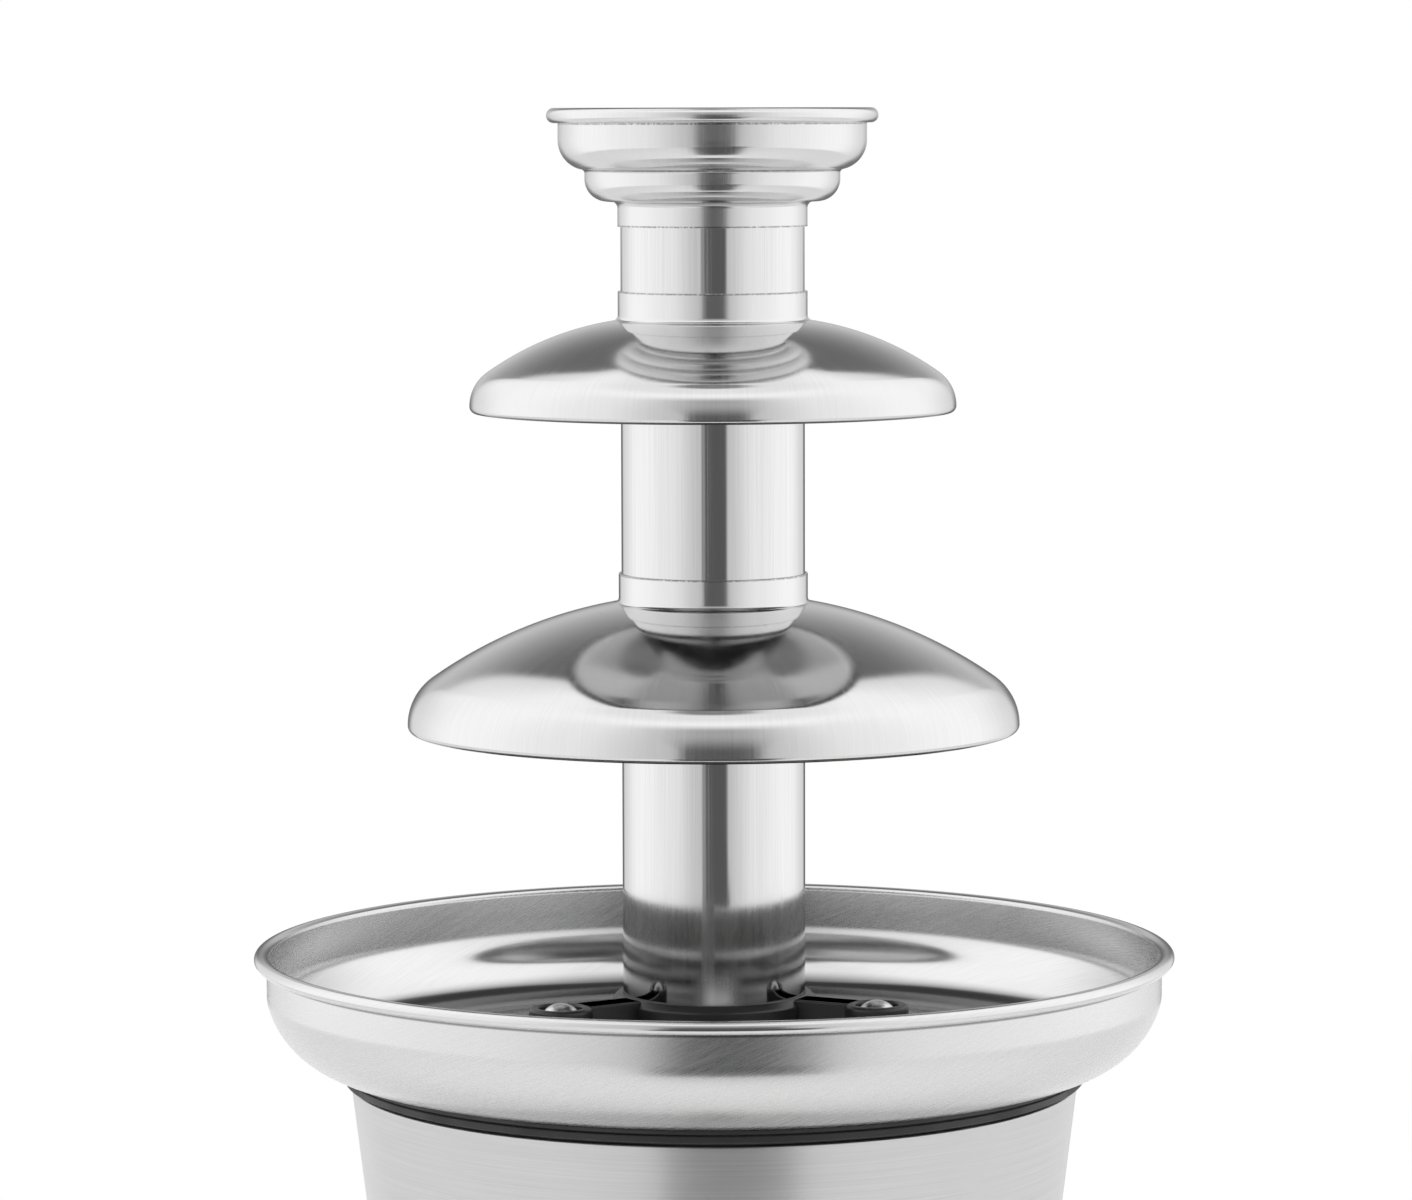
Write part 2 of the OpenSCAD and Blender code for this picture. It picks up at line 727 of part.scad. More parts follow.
module at_posts(z) at_ring(post_angles, post_ring_r, z) children();

// Local +Z points out of the housing's wall, local -X points up it
module at_wall(angle, z) rotate(angle) translate([wall_r(z), 0, z]) rotate([0, 90 + taper, 0]) children();

module wall_hole(angle, z, d) at_wall(angle, z)
  translate([0, 0, -wall_cut]) cylinder(d = d, h = 2 * wall_cut);

// Tower
// A dome on its sleeve, with the sleeve's foot at z = 0
module tier(rim_r, shoulder_r, a0, a1, collar_h) {
  path = dome_path(rim_r, sleeve_len, shoulder_r, a0, a1, collar_h);
  skin = [for (p = path) if (p.x > neck_r(a0) - tiny) p];
  under = reversed(set_over(skin, dome_t));
  sleeve = [[sleeve_ro, under[len(under) - 1].y], [sleeve_ro, 0], [sleeve_ri, 0], [sleeve_ri, sleeve_len]];
  rotate_extrude() polygon(concat(path, under, sleeve));
}

module upper_tier() color(steel) translate([0, 0, upper_seat_z])
  tier(upper_dome_d / 2, upper_shoulder_r, upper_neck_slope, upper_shoulder_slope, upper_collar_h);

// The lower tier has slots in its sleeve that let the tube's upper pips pass
module lower_tier() color(steel) translate([0, 0, lower_seat_z]) difference() {
  slot_r = tube_r + pip_proud + side_gap;
  slot_turn = 2 * asin((pip_r + side_gap) / tube_ri);
  tier(lower_dome_d / 2, lower_shoulder_r, lower_neck_slope, lower_shoulder_slope, lower_collar_h);
  for (a = upper_pips) rotate(a - slot_turn / 2) translate([0, 0, -cut])
    rotate_extrude(angle = slot_turn)
    translate([tube_ri, 0]) square([slot_r - tube_ri, sleeve_len + 2 * cut]);
}

module tower_tube() color(steel) difference() {
  union() {
    translate([0, 0, tube_z]) cylinder(r = tube_r, h = tube_len);
    at_ring(upper_pips, pip_centre_r, upper_seat_z - pip_drop) sphere(r = pip_r);
    at_ring(lower_pips, pip_centre_r, lower_seat_z - pip_drop) sphere(r = pip_r);
  }
  translate([0, 0, tube_z]) hole(tube_ri, tube_len);
}

module crown() color(steel) {
  collar_r = sleeve_ri + crown_t;
  step_r = crown_step_d / 2;
  cup_r = crown_cup_d / 2;
  collar_z = tube_top - crown_overlap;
  step_z = collar_z + crown_neck_h;
  crease_z = step_z + jog_rise(collar_r, step_r, crown_neck_fillet, crown_step_r) + crown_step_h;
  cup_z = crease_z + jog_rise(step_r, cup_r, crown_crease, crown_cup_r);
  bead_at = [cup_r + crown_bead_out, cup_z + crown_cup_h];
  wall = concat([[collar_r, collar_z]], jog(collar_r, step_r, step_z, crown_neck_fillet, crown_step_r),
    jog(step_r, cup_r, crease_z, crown_crease, crown_cup_r));
  rotate_extrude() polygon(concat(wall, reversed(bead(cup_r - crown_t, cup_r, bead_at, crown_bead_r)),
    reversed(set_over(wall, -crown_t))));
  intersection() {
    rotate_extrude() polygon(concat([[0, collar_z]], wall, [[0, cup_z]]));
    at_ring(lower_pips, tube_ri, tube_top + seat_gap)
      translate([0, -crown_tab_w / 2, 0]) cube([step_r, crown_tab_w, crown_tab_h]);
  }
}

module tower_hub() color(black) difference() {
  ring_r = tube_r + hub_ring_t;
  leg_z = floor_z + post_foot_h + seat_gap;
  pocket_r = ring_r + arm_rib;
  pocket_w = arm_w - 2 * arm_rib;
  union() {
    translate([0, 0, tube_z - hub_ledge]) cylinder(r = ring_r, h = hub_socket + hub_ledge - hub_bevel_h);
    translate([0, 0, hub_z - hub_bevel_h]) cylinder(r1 = ring_r, r2 = tube_r + hub_top_t, h = hub_bevel_h);
    at_ring(post_angles, tube_r + hub_ring_t / 2, hub_z - arm_h)
      translate([0, -arm_w / 2, 0]) cube([post_ring_r - tube_r - hub_ring_t / 2, arm_w, arm_h]);
    at_posts(leg_z) cylinder(d = eye_d, h = hub_z - leg_z);
  }
  translate([0, 0, tube_z]) cylinder(r = tube_r + press_gap, h = hub_socket + cut);
  translate([0, 0, tube_z - hub_ledge]) hole(tube_ri, hub_ledge);
  at_posts(leg_z) hole(eye_bore / 2, hub_z - leg_z);
  at_ring(post_angles, pocket_r, hub_z - arm_pocket)
    translate([0, -pocket_w / 2, 0]) cube([post_ring_r - eye_d / 2 - pocket_r, pocket_w, arm_pocket + cut]);
}

// Screw flight as a ribbon of four edges swept round and up the shaft, its inner facets just clear of it
module auger_screw() color(white_plastic) {
  turn_steps = 20;
  n = floor(turn_steps * (auger_top - auger_z - 2 * auger_flight_t) / auger_pitch);
  ri = (auger_core_d / 2 + press_gap) / cos(180 / turn_steps);
  edge = [[ri, 0], [auger_r, 0], [auger_r, auger_flight_t], [ri, auger_flight_t]];
  points = [for (i = [0:n]) let (a = 360 * i / turn_steps) for (e = edge)
    [e.x * cos(a), e.x * sin(a), auger_z + auger_flight_t / 2 + e.y + auger_pitch * i / turn_steps]];
  sides = [for (i = [0:n - 1]) for (k = [0:3]) let (b = 4 * i, j = (k + 1) % 4)
    each [[b + k, b + 4 + k, b + 4 + j], [b + k, b + 4 + j, b + j]]];
  last = 4 * n;
  ends = [[0, 1, 2], [0, 2, 3], [last, last + 2, last + 1], [last, last + 3, last + 2]];
  polyhedron(points, concat(sides, ends));
}

module auger_shaft() color(white_plastic) translate([0, 0, auger_z]) difference() {
  socket_h = drive_top - auger_z + seat_gap;
  socket_w = drive_flat + 2 * slip_gap;
  cylinder(d = auger_core_d, h = auger_top - auger_z);
  translate([0, 0, -cut]) intersection() {
    cylinder(r = drive_r + slip_gap, h = socket_h + cut);
    translate([-drive_d, -socket_w / 2, 0]) cube([2 * drive_d, socket_w, socket_h + cut]);
  }
}

// Bowl and posts
module basin() color(steel) difference() {
  wall_ro = bowl_d / 2;
  knee_r = wall_ro - bowl_shoulder_r * (1 - cos(bowl_shoulder_turn));
  knee_z = bowl_z + bowl_corner_r * (1 - sin(bowl_shoulder_turn));
  shoulder_at = [wall_ro - bowl_shoulder_r, knee_z + bowl_shoulder_r * sin(bowl_shoulder_turn)];
  corner_at = [knee_r - bowl_corner_r * cos(bowl_shoulder_turn), bowl_z + bowl_corner_r];
  wall = concat(arc(shoulder_at, bowl_shoulder_r, 0, -bowl_shoulder_turn),
    arc(corner_at, bowl_corner_r, -bowl_shoulder_turn, -90));
  bush_r = bush_d / 2 + press_gap;
  rotate_extrude($fn = wide_fn) polygon(concat(
    bead(wall_ro - bowl_t, wall_ro, [wall_ro + bowl_bead_out, rim_z], bowl_bead_r),
    wall, [[bush_r, bowl_z], [bush_r, floor_z]], reversed(set_over(wall, bowl_t))));
  at_posts(bowl_z) hole(stud_d / 2 + bolt_gap, bowl_t);
}

module tower_posts() color(steel) at_posts(0) {
  post_z = floor_z + post_foot_h;
  dome_z = hub_z + post_proud - post_dome_h;
  r = post_d / 2;
  dome_r = (r * r + post_dome_h * post_dome_h) / (2 * post_dome_h);
  stud_z = pan_z - post_nut_h - gear_gap;
  span = asin(r / dome_r);
  rotate_extrude() polygon(concat([[0, stud_z], [stud_d / 2, stud_z], [stud_d / 2, floor_z],
    [post_foot_d / 2, floor_z], [post_foot_d / 2, post_z], [r, post_z]],
    arc([0, dome_z + post_dome_h - dome_r], dome_r, 90 - span, 90)));
}

module post_spacers() color(dark_steel)
  at_posts(pan_z + pan_t) ring(spacer_d / 2, stud_d / 2 + bolt_gap, spacer_h);

module post_nuts() color(dark_steel)
  at_posts(pan_z - post_nut_h) hex_nut(post_nut_af, stud_d / 2 + press_gap, post_nut_h);

module basin_gasket() color(black) {
  groove_z = bowl_z - gasket_lip_h;
  edge_z = deck_z + gasket_undercut_h;
  rotate_extrude($fn = wide_fn) polygon([[gasket_ro - gasket_w, deck_z], [deck_r, deck_z],
    [gasket_ro - gasket_undercut, edge_z], [gasket_ro, edge_z + gasket_bevel_h],
    [gasket_ro, groove_z - gasket_groove_w / 2], [gasket_ro - gasket_groove, groove_z],
    [gasket_ro, groove_z + gasket_groove_w / 2], [gasket_ro, bowl_z], [gasket_ro - gasket_w, bowl_z]]);
}

module shaft_bush() color(bronze) difference() {
  union() {
    translate([0, 0, floor_z]) cylinder(d = bush_flange_d, h = bush_flange_h);
    translate([0, 0, bowl_z - bush_tail]) cylinder(d = bush_d, h = bush_tail + bowl_t);
  }
  translate([0, 0, bowl_z - bush_tail]) hole(drive_r + run_gap, bush_tail + bowl_t + bush_flange_h);
  translate([0, 0, bush_top - seal_h]) cylinder(r = seal_d / 2 + press_gap, h = seal_h + cut);
}

module shaft_seal() color(black)
  translate([0, 0, bush_top - seal_h]) ring(seal_d / 2, drive_r + run_gap, seal_h);

module bush_nut() color(dark_steel)
  translate([0, 0, bowl_z - bush_nut_h]) hex_nut(bush_nut_af, bush_d / 2 + press_gap, bush_nut_h);

// Heater
stat_ear = stat_d / 2 + stat_ear_out;
stat_ear_w = 2 * (stat_ear + stat_screw_d);
module at_stat(z) rotate(stat_angle) translate([stat_ring_r, 0, z]) children();
module at_stat_ears(z) for (s = [-1, 1]) at_stat(z) translate([0, s * stat_ear, 0]) children();

module heater_plate() color(alloy) difference() {
  translate([0, 0, spreader_z]) ring(spreader_ro, spreader_ri, spreader_t);
  translate([0, 0, spreader_z]) rotate_extrude()
    translate([heater_r, 0]) circle(r = heater_d / 2 + press_gap);
  at_posts(spreader_z) hole(stud_d / 2 + bolt_gap, spreader_t);
  at_stat_ears(spreader_z - cut) cylinder(r = stat_screw_d / 2 + press_gap, h = stat_screw_bite + cut);
}

// Open ring of tube with a cold pin down from each end
module heater_ring() color(dark_steel) translate([0, 0, spreader_z]) {
  rotate(stat_angle + heater_open / 2) rotate_extrude(angle = 360 - heater_open)
    translate([heater_r, 0]) circle(d = heater_d);
  at_ring([stat_angle - pin_angle, stat_angle + pin_angle], heater_r, -heater_tail)
    cylinder(d = heater_pin_d, h = heater_tail);
}

// Ring under the heater, cut back between the posts to leave room for the thermostat
module heater_clamp() color(dark_steel) difference() {
  translate([0, 0, clamp_z]) ring(heater_r + heater_d, post_ring_r - spacer_d / 2 - clamp_lug, clamp_t);
  at_posts(clamp_z) hole(stud_d / 2 + bolt_gap, clamp_t);
  at_ring([for (a = post_angles) a + 60], 0, clamp_z - cut)
    translate([0, -stat_ear_w / 2, 0]) cube([heater_r - heater_d, stat_ear_w, clamp_t + 2 * cut]);
  at_ring([stat_angle - pin_angle, stat_angle + pin_angle], heater_r, clamp_z)
    hole(heater_pin_d / 2 + side_gap, clamp_t);
}

module thermostat() color(black) difference() {
  at_stat(spreader_z) {
    translate([0, 0, -stat_h]) cylinder(d = stat_d, h = stat_h);
    translate([-stat_d / 4, -stat_ear_w / 2, -stat_ear_t]) cube([stat_d / 2, stat_ear_w, stat_ear_t]);
  }
  at_stat_ears(spreader_z - stat_ear_t) hole(stat_screw_d / 2 + bolt_gap, stat_ear_t);
}

module thermostat_screws() color(dark_steel) at_stat_ears(spreader_z - stat_ear_t)
  upside_down() screw(stat_screw_d, stat_ear_t + stat_screw_bite - gear_gap);

module thermal_fuse() color(white_plastic) rotate(fuse_angle)
  translate([stat_ring_r, 0, spreader_z - fuse_d / 2]) rotate([90, 0, 0]) {
    cylinder(d = fuse_d, h = fuse_len, center = true);
    cylinder(d = fuse_lead_d, h = fuse_len + 2 * fuse_lead, center = true);
  }

// Housing and base
standoff_at = [[standoff_x, -standoff_y], [standoff_x, standoff_y],
  idler_at - [standoff_left, standoff_front]];

module clamp_pan() color(dark_steel) difference() {
  hole_r = drive_r + side_gap;
  pan_floor_r = flange_ri - pan_slope;
  rim_r = flange_ri + pan_rim;
  rotate_extrude($fn = wide_fn) polygon([[hole_r, pan_z], [pan_floor_r, pan_z], [flange_ri, pan_rim_z],
    [rim_r, pan_rim_z], [rim_r, pan_rim_z + pan_t], [flange_ri - pan_t, pan_rim_z + pan_t],
    [pan_floor_r - pan_t, pan_z + pan_t], [hole_r, pan_z + pan_t]]);
  at_posts(pan_z) hole(stud_d / 2 + bolt_gap, pan_t);
  at_each(standoff_at, pan_z) hole(standoff_screw_d / 2 + bolt_gap, pan_t);
}

module base_housing() color(steel) difference() {
  edge_at = [deck_r - housing_edge_r * tan(45 + taper / 2), deck_z - housing_edge_r];
  outer = concat([[flange_ri, deck_z]], arc(edge_at, housing_edge_r, 90, -taper), [[foot_r, housing_z]]);
  mid_t = housing_t / 2;
  union() {
    rotate_extrude($fn = wide_fn) polygon(concat(outer, reversed(set_over(outer, housing_t))));
    intersection() {
      at_ring(tab_angles, wall_r(tab_z) - housing_t - tab_reach, tab_z)
        translate([0, -tab_w / 2, 0]) cube([tab_reach + housing_t, tab_w, tab_t]);
      translate([0, 0, housing_z]) cylinder(r1 = foot_r - mid_t, r2 = deck_r - mid_t, h = housing_h);
    }
  }
  at_ring(tab_angles, tab_hole_r, tab_z) hole(base_screw_d / 2 + press_gap, tab_t);
  wall_hole(knob_angle, knob_z, switch_neck_d + 2 * side_gap);
  wall_hole(lamp_angle, knob_z, lamp_neck_d + 2 * side_gap);
  wall_hole(gland_angle, gland_z, gland_neck_d + 2 * side_gap);
}

module base_plate() color(black) difference() {
  spigot_ro = foot_r - housing_t - side_gap;
  union() {
    translate([0, 0, plate_z]) cylinder(r = foot_r + base_lip, h = base_t);
    translate([0, 0, housing_z]) ring(spigot_ro, spigot_ro - spigot_t, spigot_h);
    at_ring(tab_angles, tab_hole_r, housing_z) cylinder(r = base_screw_d / 2 + base_boss_t, h = tab_rise);
  }
  at_ring(tab_angles, tab_hole_r, plate_z) hole(base_screw_d / 2 + bolt_gap, base_t + tab_rise);
  at_ring(foot_angles, foot_ring_r, plate_z) hole(foot_stem_d / 2 + press_gap, base_t);
  at(motor_at, plate_z - cut) at_ring([0:30:330], vent_ri, 0)
    translate([0, -vent_w / 2, 0]) cube([vent_len, vent_w, base_t + 2 * cut]);
}

module base_screws() color(dark_steel) at_ring(tab_angles, tab_hole_r, plate_z)
  upside_down() screw(base_screw_d, base_t + tab_rise + tab_t + gear_gap);

// Round feet, each held by a barbed stem through the plate
module feet() color(black) at_ring(foot_angles, foot_ring_r, 0) {
  stem_r = foot_stem_d / 2;
  barb_z = housing_z + 2 * foot_edge;
  rotate_extrude() polygon([[0, 0], [foot_d / 2 - foot_edge, 0], [foot_d / 2, foot_edge],
    [foot_d / 2, plate_z], [stem_r, plate_z], [stem_r, housing_z], [stem_r + foot_edge, housing_z],
    [stem_r - foot_edge, barb_z], [0, barb_z]]);
}

// Gearbox
output_boss_r = tip_r(output_teeth) + case_gap + case_t;
wheel_boss_r = tip_r(wheel_teeth) + case_gap + case_t;
boss_at = concat([for (a = [45, -45]) polar(output_boss_r, a)],
  [for (a = [160, 240]) idler_at + polar(wheel_boss_r, a)]);
motor_screw_at = [for (s = [-1, 1]) motor_at + [s * motor_screw_span / 2, 0]];
motor_bush_r = motor_shaft_d / 2 + run_gap + bush_t;
output_bush_r = drive_r + run_gap + bush_t;
column_r = motor_screw_d / 2 + column_t;

// Outline of the gear case grown by d past the gear tips, as round ends and the straight sides between them
module gear_outline(d, h) {
  ro = tip_r(output_teeth) + d;
  rw = tip_r(wheel_teeth) + d;
  rm = tip_r(pinion_teeth) + d;
  arm = [rm, 0];
  cylinder(r = ro, h = h);
  at(idler_at, 0) cylinder(r = rw, h = h);
  at(motor_at, 0) cylinder(r = rm, h = h);
  linear_extrude(h) polygon([[0, ro], [0, -ro], idler_at - [0, rw], idler_at + [0, rw]]);
  linear_extrude(h) polygon([idler_at - arm, idler_at + arm, motor_at + arm, motor_at - arm]);
}

module gearbox_case() color(alloy) translate([0, 0, case_z]) {
  h = lid_z - case_z;
  screw_h = case_screw_bite + gear_gap;
  difference() {
    union() {
      difference() {
        union() {
          gear_outline(case_gap + case_t, h);
          at_each(boss_at, 0) cylinder(r = case_boss_r, h = h);
        }
        translate([0, 0, case_floor]) gear_outline(case_gap, h);
      }
      at(motor_at, 0) translate([-core_w / 2, -strap_w / 2, 0]) cube([core_w, strap_w, case_floor]);
      at_each(motor_screw_at, -motor_drop) cylinder(r = column_r, h = motor_drop);
    }
    at_each(boss_at, h - screw_h) cylinder(r = case_screw_d / 2 + press_gap, h = screw_h + cut);
    at_each(motor_screw_at, -motor_drop - cut)
      cylinder(r = motor_screw_d / 2 + press_gap, h = motor_screw_bite + gear_gap + cut);
    at(motor_at, 0) hole(motor_bush_r + press_gap, case_floor);
    hole(output_bush_r + press_gap, case_floor);
    at(idler_at, 0) hole(axle_d / 2 + press_gap, case_floor);
  }
}

module gearbox_lid() color(alloy) translate([0, 0, lid_z]) difference() {
  union() {
    gear_outline(case_gap + case_t, lid_t);
    at_each(boss_at, 0) cylinder(r = case_boss_r, h = lid_t);
  }
  at_each(boss_at, 0) hole(case_screw_d / 2 + bolt_gap, lid_t);
  at_each(standoff_at, 0) hole(standoff_screw_d / 2 + press_gap, lid_t);
  hole(drive_r + side_gap, lid_t);
  at(idler_at, 0) hole(axle_d / 2 + press_gap, lid_t);
}

module gearbox_screws() color(dark_steel)
  at_each(boss_at, lid_z + lid_t) screw(case_screw_d, lid_t + case_screw_bite);

// Hexagon standoffs with a stud below, screwed into the lid, and a tapped hole above
module gearbox_standoffs() color(bronze) at_each(standoff_at, lid_z + lid_t) {
  difference() {
    hex(standoff_af, standoff_h);
    translate([0, 0, standoff_h - standoff_hole])
      cylinder(r = standoff_screw_d / 2 + press_gap, h = standoff_hole + cut);
  }
  translate([0, 0, -lid_t]) cylinder(d = standoff_screw_d, h = lid_t + tiny);
}

module standoff_screws() color(dark_steel)
  at_each(standoff_at, pan_z + pan_t) screw(standoff_screw_d, pan_t + standoff_hole - gear_gap);

module output_bush() color(bronze)
  translate([0, 0, case_z]) ring(output_bush_r, drive_r + run_gap, case_floor);

module drive_shaft() color(steel) difference() {
  translate([0, 0, case_z]) cylinder(r = drive_r, h = drive_top - case_z);
  for (a = [0, 180]) rotate(a) translate([-drive_d, drive_flat / 2, bush_top + seat_gap])
    cube([2 * drive_d, drive_d, drive_flat_h]);
}

module output_gear() color(white_plastic) translate([0, 0, output_z]) difference() {
  gear(output_teeth, 180, output_w);
  hole(drive_r + press_gap, output_w);
}

module idler_axle() color(steel) at(idler_at, case_z) cylinder(d = axle_d, h = lid_z + lid_t - case_z);

// Pinion below, running up to the wheel above it
module idler_gear() color(white_plastic) at(idler_at, output_z) difference() {
  pinion_h = output_w + gear_gap;
  union() {
    gear(pinion_teeth, 180 / pinion_teeth, pinion_h);
    translate([0, 0, pinion_h]) gear(wheel_teeth, 90, wheel_w);
  }
  hole(axle_d / 2 + run_gap, pinion_h + wheel_w);
}

module motor_pinion() color(bronze) at(motor_at, wheel_z) difference() {
  gear(pinion_teeth, 180 / pinion_teeth - 90, wheel_w);
  hole(motor_shaft_d / 2 + press_gap, wheel_w);
}

// Motor
rotor_bore_r = rotor_d / 2 + air_gap;
window_y = rotor_bore_r + core_band;
leg_y = window_y + window_d;
bobbin_w = window_w - 2 * side_gap;
bobbin_out = side_gap + bobbin_t;

module rotor_shaft() color(steel)
  at(motor_at, fan_z) cylinder(d = motor_shaft_d, h = wheel_z + wheel_w - fan_z);

module rotor_core() color(dark_steel) at(motor_at, core_z - rotor_over)
  ring(rotor_d / 2, motor_shaft_d / 2 + press_gap, core_h + 2 * rotor_over);

module stator_core() color(core_steel) difference() {
  at(motor_at, core_z) translate([-core_w / 2, -window_y, 0])
    cube([core_w, window_y + leg_y + leg_w, core_h]);
  at(motor_at, core_z) hole(rotor_bore_r, core_h);
  at(motor_at, core_z - cut) translate([-window_w / 2, window_y, 0])
    cube([window_w, window_d, core_h + 2 * cut]);
  at_each(motor_screw_at, core_z) hole(motor_screw_d / 2 + bolt_gap, core_h);
}

// Box of width w round the coil's leg, grown by d
module leg_box(w, d) translate([-w / 2, leg_y - d, -d]) cube([w, leg_w + 2 * d, core_h + 2 * d]);

module coil_bobbin() color(white_plastic) at(motor_at, core_z) difference() {
  union() {
    leg_box(bobbin_w, bobbin_out);
    for (s = [-1, 1]) translate([s * (bobbin_w - bobbin_t) / 2, 0, 0])
      leg_box(bobbin_t, bobbin_out + winding_t + side_gap);
  }
  leg_box(bobbin_w + 2 * cut, side_gap);
}

module coil_winding() color(copper) at(motor_at, core_z) difference() {
  w = bobbin_w - 2 * bobbin_t - 2 * press_gap;
  leg_box(w, bobbin_out + winding_t);
  leg_box(w + 2 * cut, bobbin_out + press_gap);
}

module motor_bracket() color(dark_steel) difference() {
  union() {
    at(motor_at, strap_z) translate([-core_w / 2, -strap_w / 2, 0]) cube([core_w, strap_w, strap_t]);
    at_each(motor_screw_at, strap_z) cylinder(r = column_r, h = strap_t + strap_rise);
  }
  at(motor_at, strap_z) hole(motor_bush_r + press_gap, strap_t);
  at_each(motor_screw_at, strap_z) hole(motor_screw_d / 2 + bolt_gap, strap_t + strap_rise);
}

module motor_bushes() color(bronze) {
  at(motor_at, strap_z) ring(motor_bush_r, motor_shaft_d / 2 + run_gap, strap_t);
  at(motor_at, case_z) ring(motor_bush_r, motor_shaft_d / 2 + run_gap, case_floor);
}

module motor_screws() color(dark_steel) at_each(motor_screw_at, strap_z)
  upside_down() screw(motor_screw_d, strap_t + strap_rise + core_h + motor_screw_bite);

module cooling_fan() color(black) at(motor_at, fan_z) difference() {
  union() {
    cylinder(d = fan_hub_d, h = fan_h);
    for (i = [0:fan_blades - 1]) rotate(360 * i / fan_blades) intersection() {
      translate([motor_shaft_d / 2, 0, fan_h / 2]) rotate([fan_pitch, 0, 0])
        translate([0, -fan_blade_t / 2, -fan_h]) cube([fan_r, fan_blade_t, 2 * fan_h]);
      cylinder(r = fan_r, h = fan_h);
    }
  }
  hole(motor_shaft_d / 2 + press_gap, fan_h);
}

// Controls on the housing's front
switch_face = inner_face(switch_w / 2, knob_z) + side_gap;

module control_knob() color(black) at_wall(knob_angle, knob_z) translate([0, 0, knob_gap]) difference() {
  union() {
    cylinder(d1 = knob_d, d2 = knob_d - 2 * knob_bevel, h = knob_skirt_h);
    cylinder(d1 = knob_grip_d, d2 = knob_top_d, h = knob_h);
    translate([knob_mark_in - knob_d / 2, -knob_mark_w / 2, knob_skirt_h])
      cube([knob_d / 2 - knob_mark_in - spindle_d, knob_mark_w, knob_mark_h]);
  }
  translate([0, 0, -cut])
    cylinder(r = switch_nut_af / 2 / cos(30) + side_gap, h = switch_nut_h + side_gap + cut);
  cylinder(r = spindle_d / 2 + press_gap, h = spindle_bite);
}

module switch_spindle() color(steel) at_wall(knob_angle, knob_z)
  translate([0, 0, -switch_face]) cylinder(d = spindle_d, h = switch_face + knob_gap + spindle_bite);

module switch_body() color(black) at_wall(knob_angle, knob_z) translate([0, 0, -switch_face]) difference() {
  neck_h = switch_face + switch_nut_h + knob_gap / 2;
  union() {
    translate([-switch_w / 2, -switch_w / 2, -switch_depth]) cube([switch_w, switch_w, switch_depth]);
    cylinder(d = switch_neck_d, h = neck_h);
  }
  cylinder(r = spindle_d / 2 + run_gap, h = neck_h + cut);
}

module switch_nut() color(dark_steel) at_wall(knob_angle, knob_z) translate([0, 0, press_gap])
  hex_nut(switch_nut_af, switch_neck_d / 2 + press_gap, switch_nut_h);

module pilot_lamp() color(red_plastic) at_wall(lamp_angle, knob_z) translate([0, 0, press_gap])
  rotate_extrude() polygon(concat(
    [[0, -lamp_neck], [lamp_neck_d / 2, -lamp_neck], [lamp_neck_d / 2, 0], [lamp_d / 2, 0]],
    arc([lamp_d / 2 - lamp_edge, lamp_edge], lamp_edge, 0, 90), [[0, lamp_h]]));

module lamp_nut() color(dark_steel) at_wall(lamp_angle, knob_z)
  translate([0, 0, -inner_face(lamp_nut_af / 2, knob_z) - lamp_nut_h])
  hex_nut(lamp_nut_af, lamp_neck_d / 2 + press_gap, lamp_nut_h);

// Cord inlet at the back
module cord_gland() color(black) at_wall(gland_angle, gland_z) difference() {
  union() {
    translate([0, 0, press_gap]) cylinder(d1 = gland_flange_d, d2 = gland_neck_d, h = gland_out);
    translate([0, 0, -gland_in]) cylinder(d = gland_neck_d, h = gland_in + cut);
  }
  translate([0, 0, -gland_in]) hole(gland_bore / 2, gland_in + gland_out + press_gap);
}

module gland_nut() color(black) at_wall(gland_angle, gland_z)
  translate([0, 0, -inner_face(gland_nut_af / 2, gland_z) - gland_nut_h])
  hex_nut(gland_nut_af, gland_neck_d / 2 + press_gap, gland_nut_h);

module terminal_block() color(white_plastic) translate([block_x, -block_len / 2, housing_z]) difference() {
  way_w = block_len / block_ways;
  cube([block_w, block_len, block_h]);
  for (i = [0:block_ways - 1]) translate([0, way_w * (i + 0.5), block_h / 2])
    rotate([0, 90, 0]) hole(block_hole_d / 2, block_w);
}

crown();
upper_tier();
lower_tier();
tower_tube();
tower_hub();
auger_shaft();
auger_screw();
basin();
tower_posts();
post_spacers();
post_nuts();
basin_gasket();
shaft_bush();
shaft_seal();
bush_nut();
heater_plate();
heater_ring();
heater_clamp();
thermostat();
thermostat_screws();
thermal_fuse();
clamp_pan();
base_housing();
base_plate();
base_screws();
feet();
gearbox_case();
gearbox_lid();
gearbox_screws();
gearbox_standoffs();
standoff_screws();
output_bush();
drive_shaft();
output_gear();
idler_axle();
idler_gear();
motor_pinion();
rotor_shaft();
rotor_core();
stator_core();
coil_bobbin();
coil_winding();
motor_bracket();
motor_bushes();
motor_screws();
cooling_fan();
control_knob();
switch_body();
switch_spindle();
switch_nut();
pilot_lamp();
lamp_nut();
cord_gland();
gland_nut();
terminal_block();
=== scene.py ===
"""Finished look of a chocolate fountain: turned and moulded surfaces, their finishes and a small studio.

Sizes are in millimetres in the part's own frame, +Z up and the front towards -Y. Places come from the
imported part, and the points are turned to metres where a mesh is made.
"""
import json
import logging
import math
from dataclasses import dataclass
from enum import Enum
from typing import Optional, Sequence, Union

import bpy
import numpy as np
from mathutils import Matrix, Vector


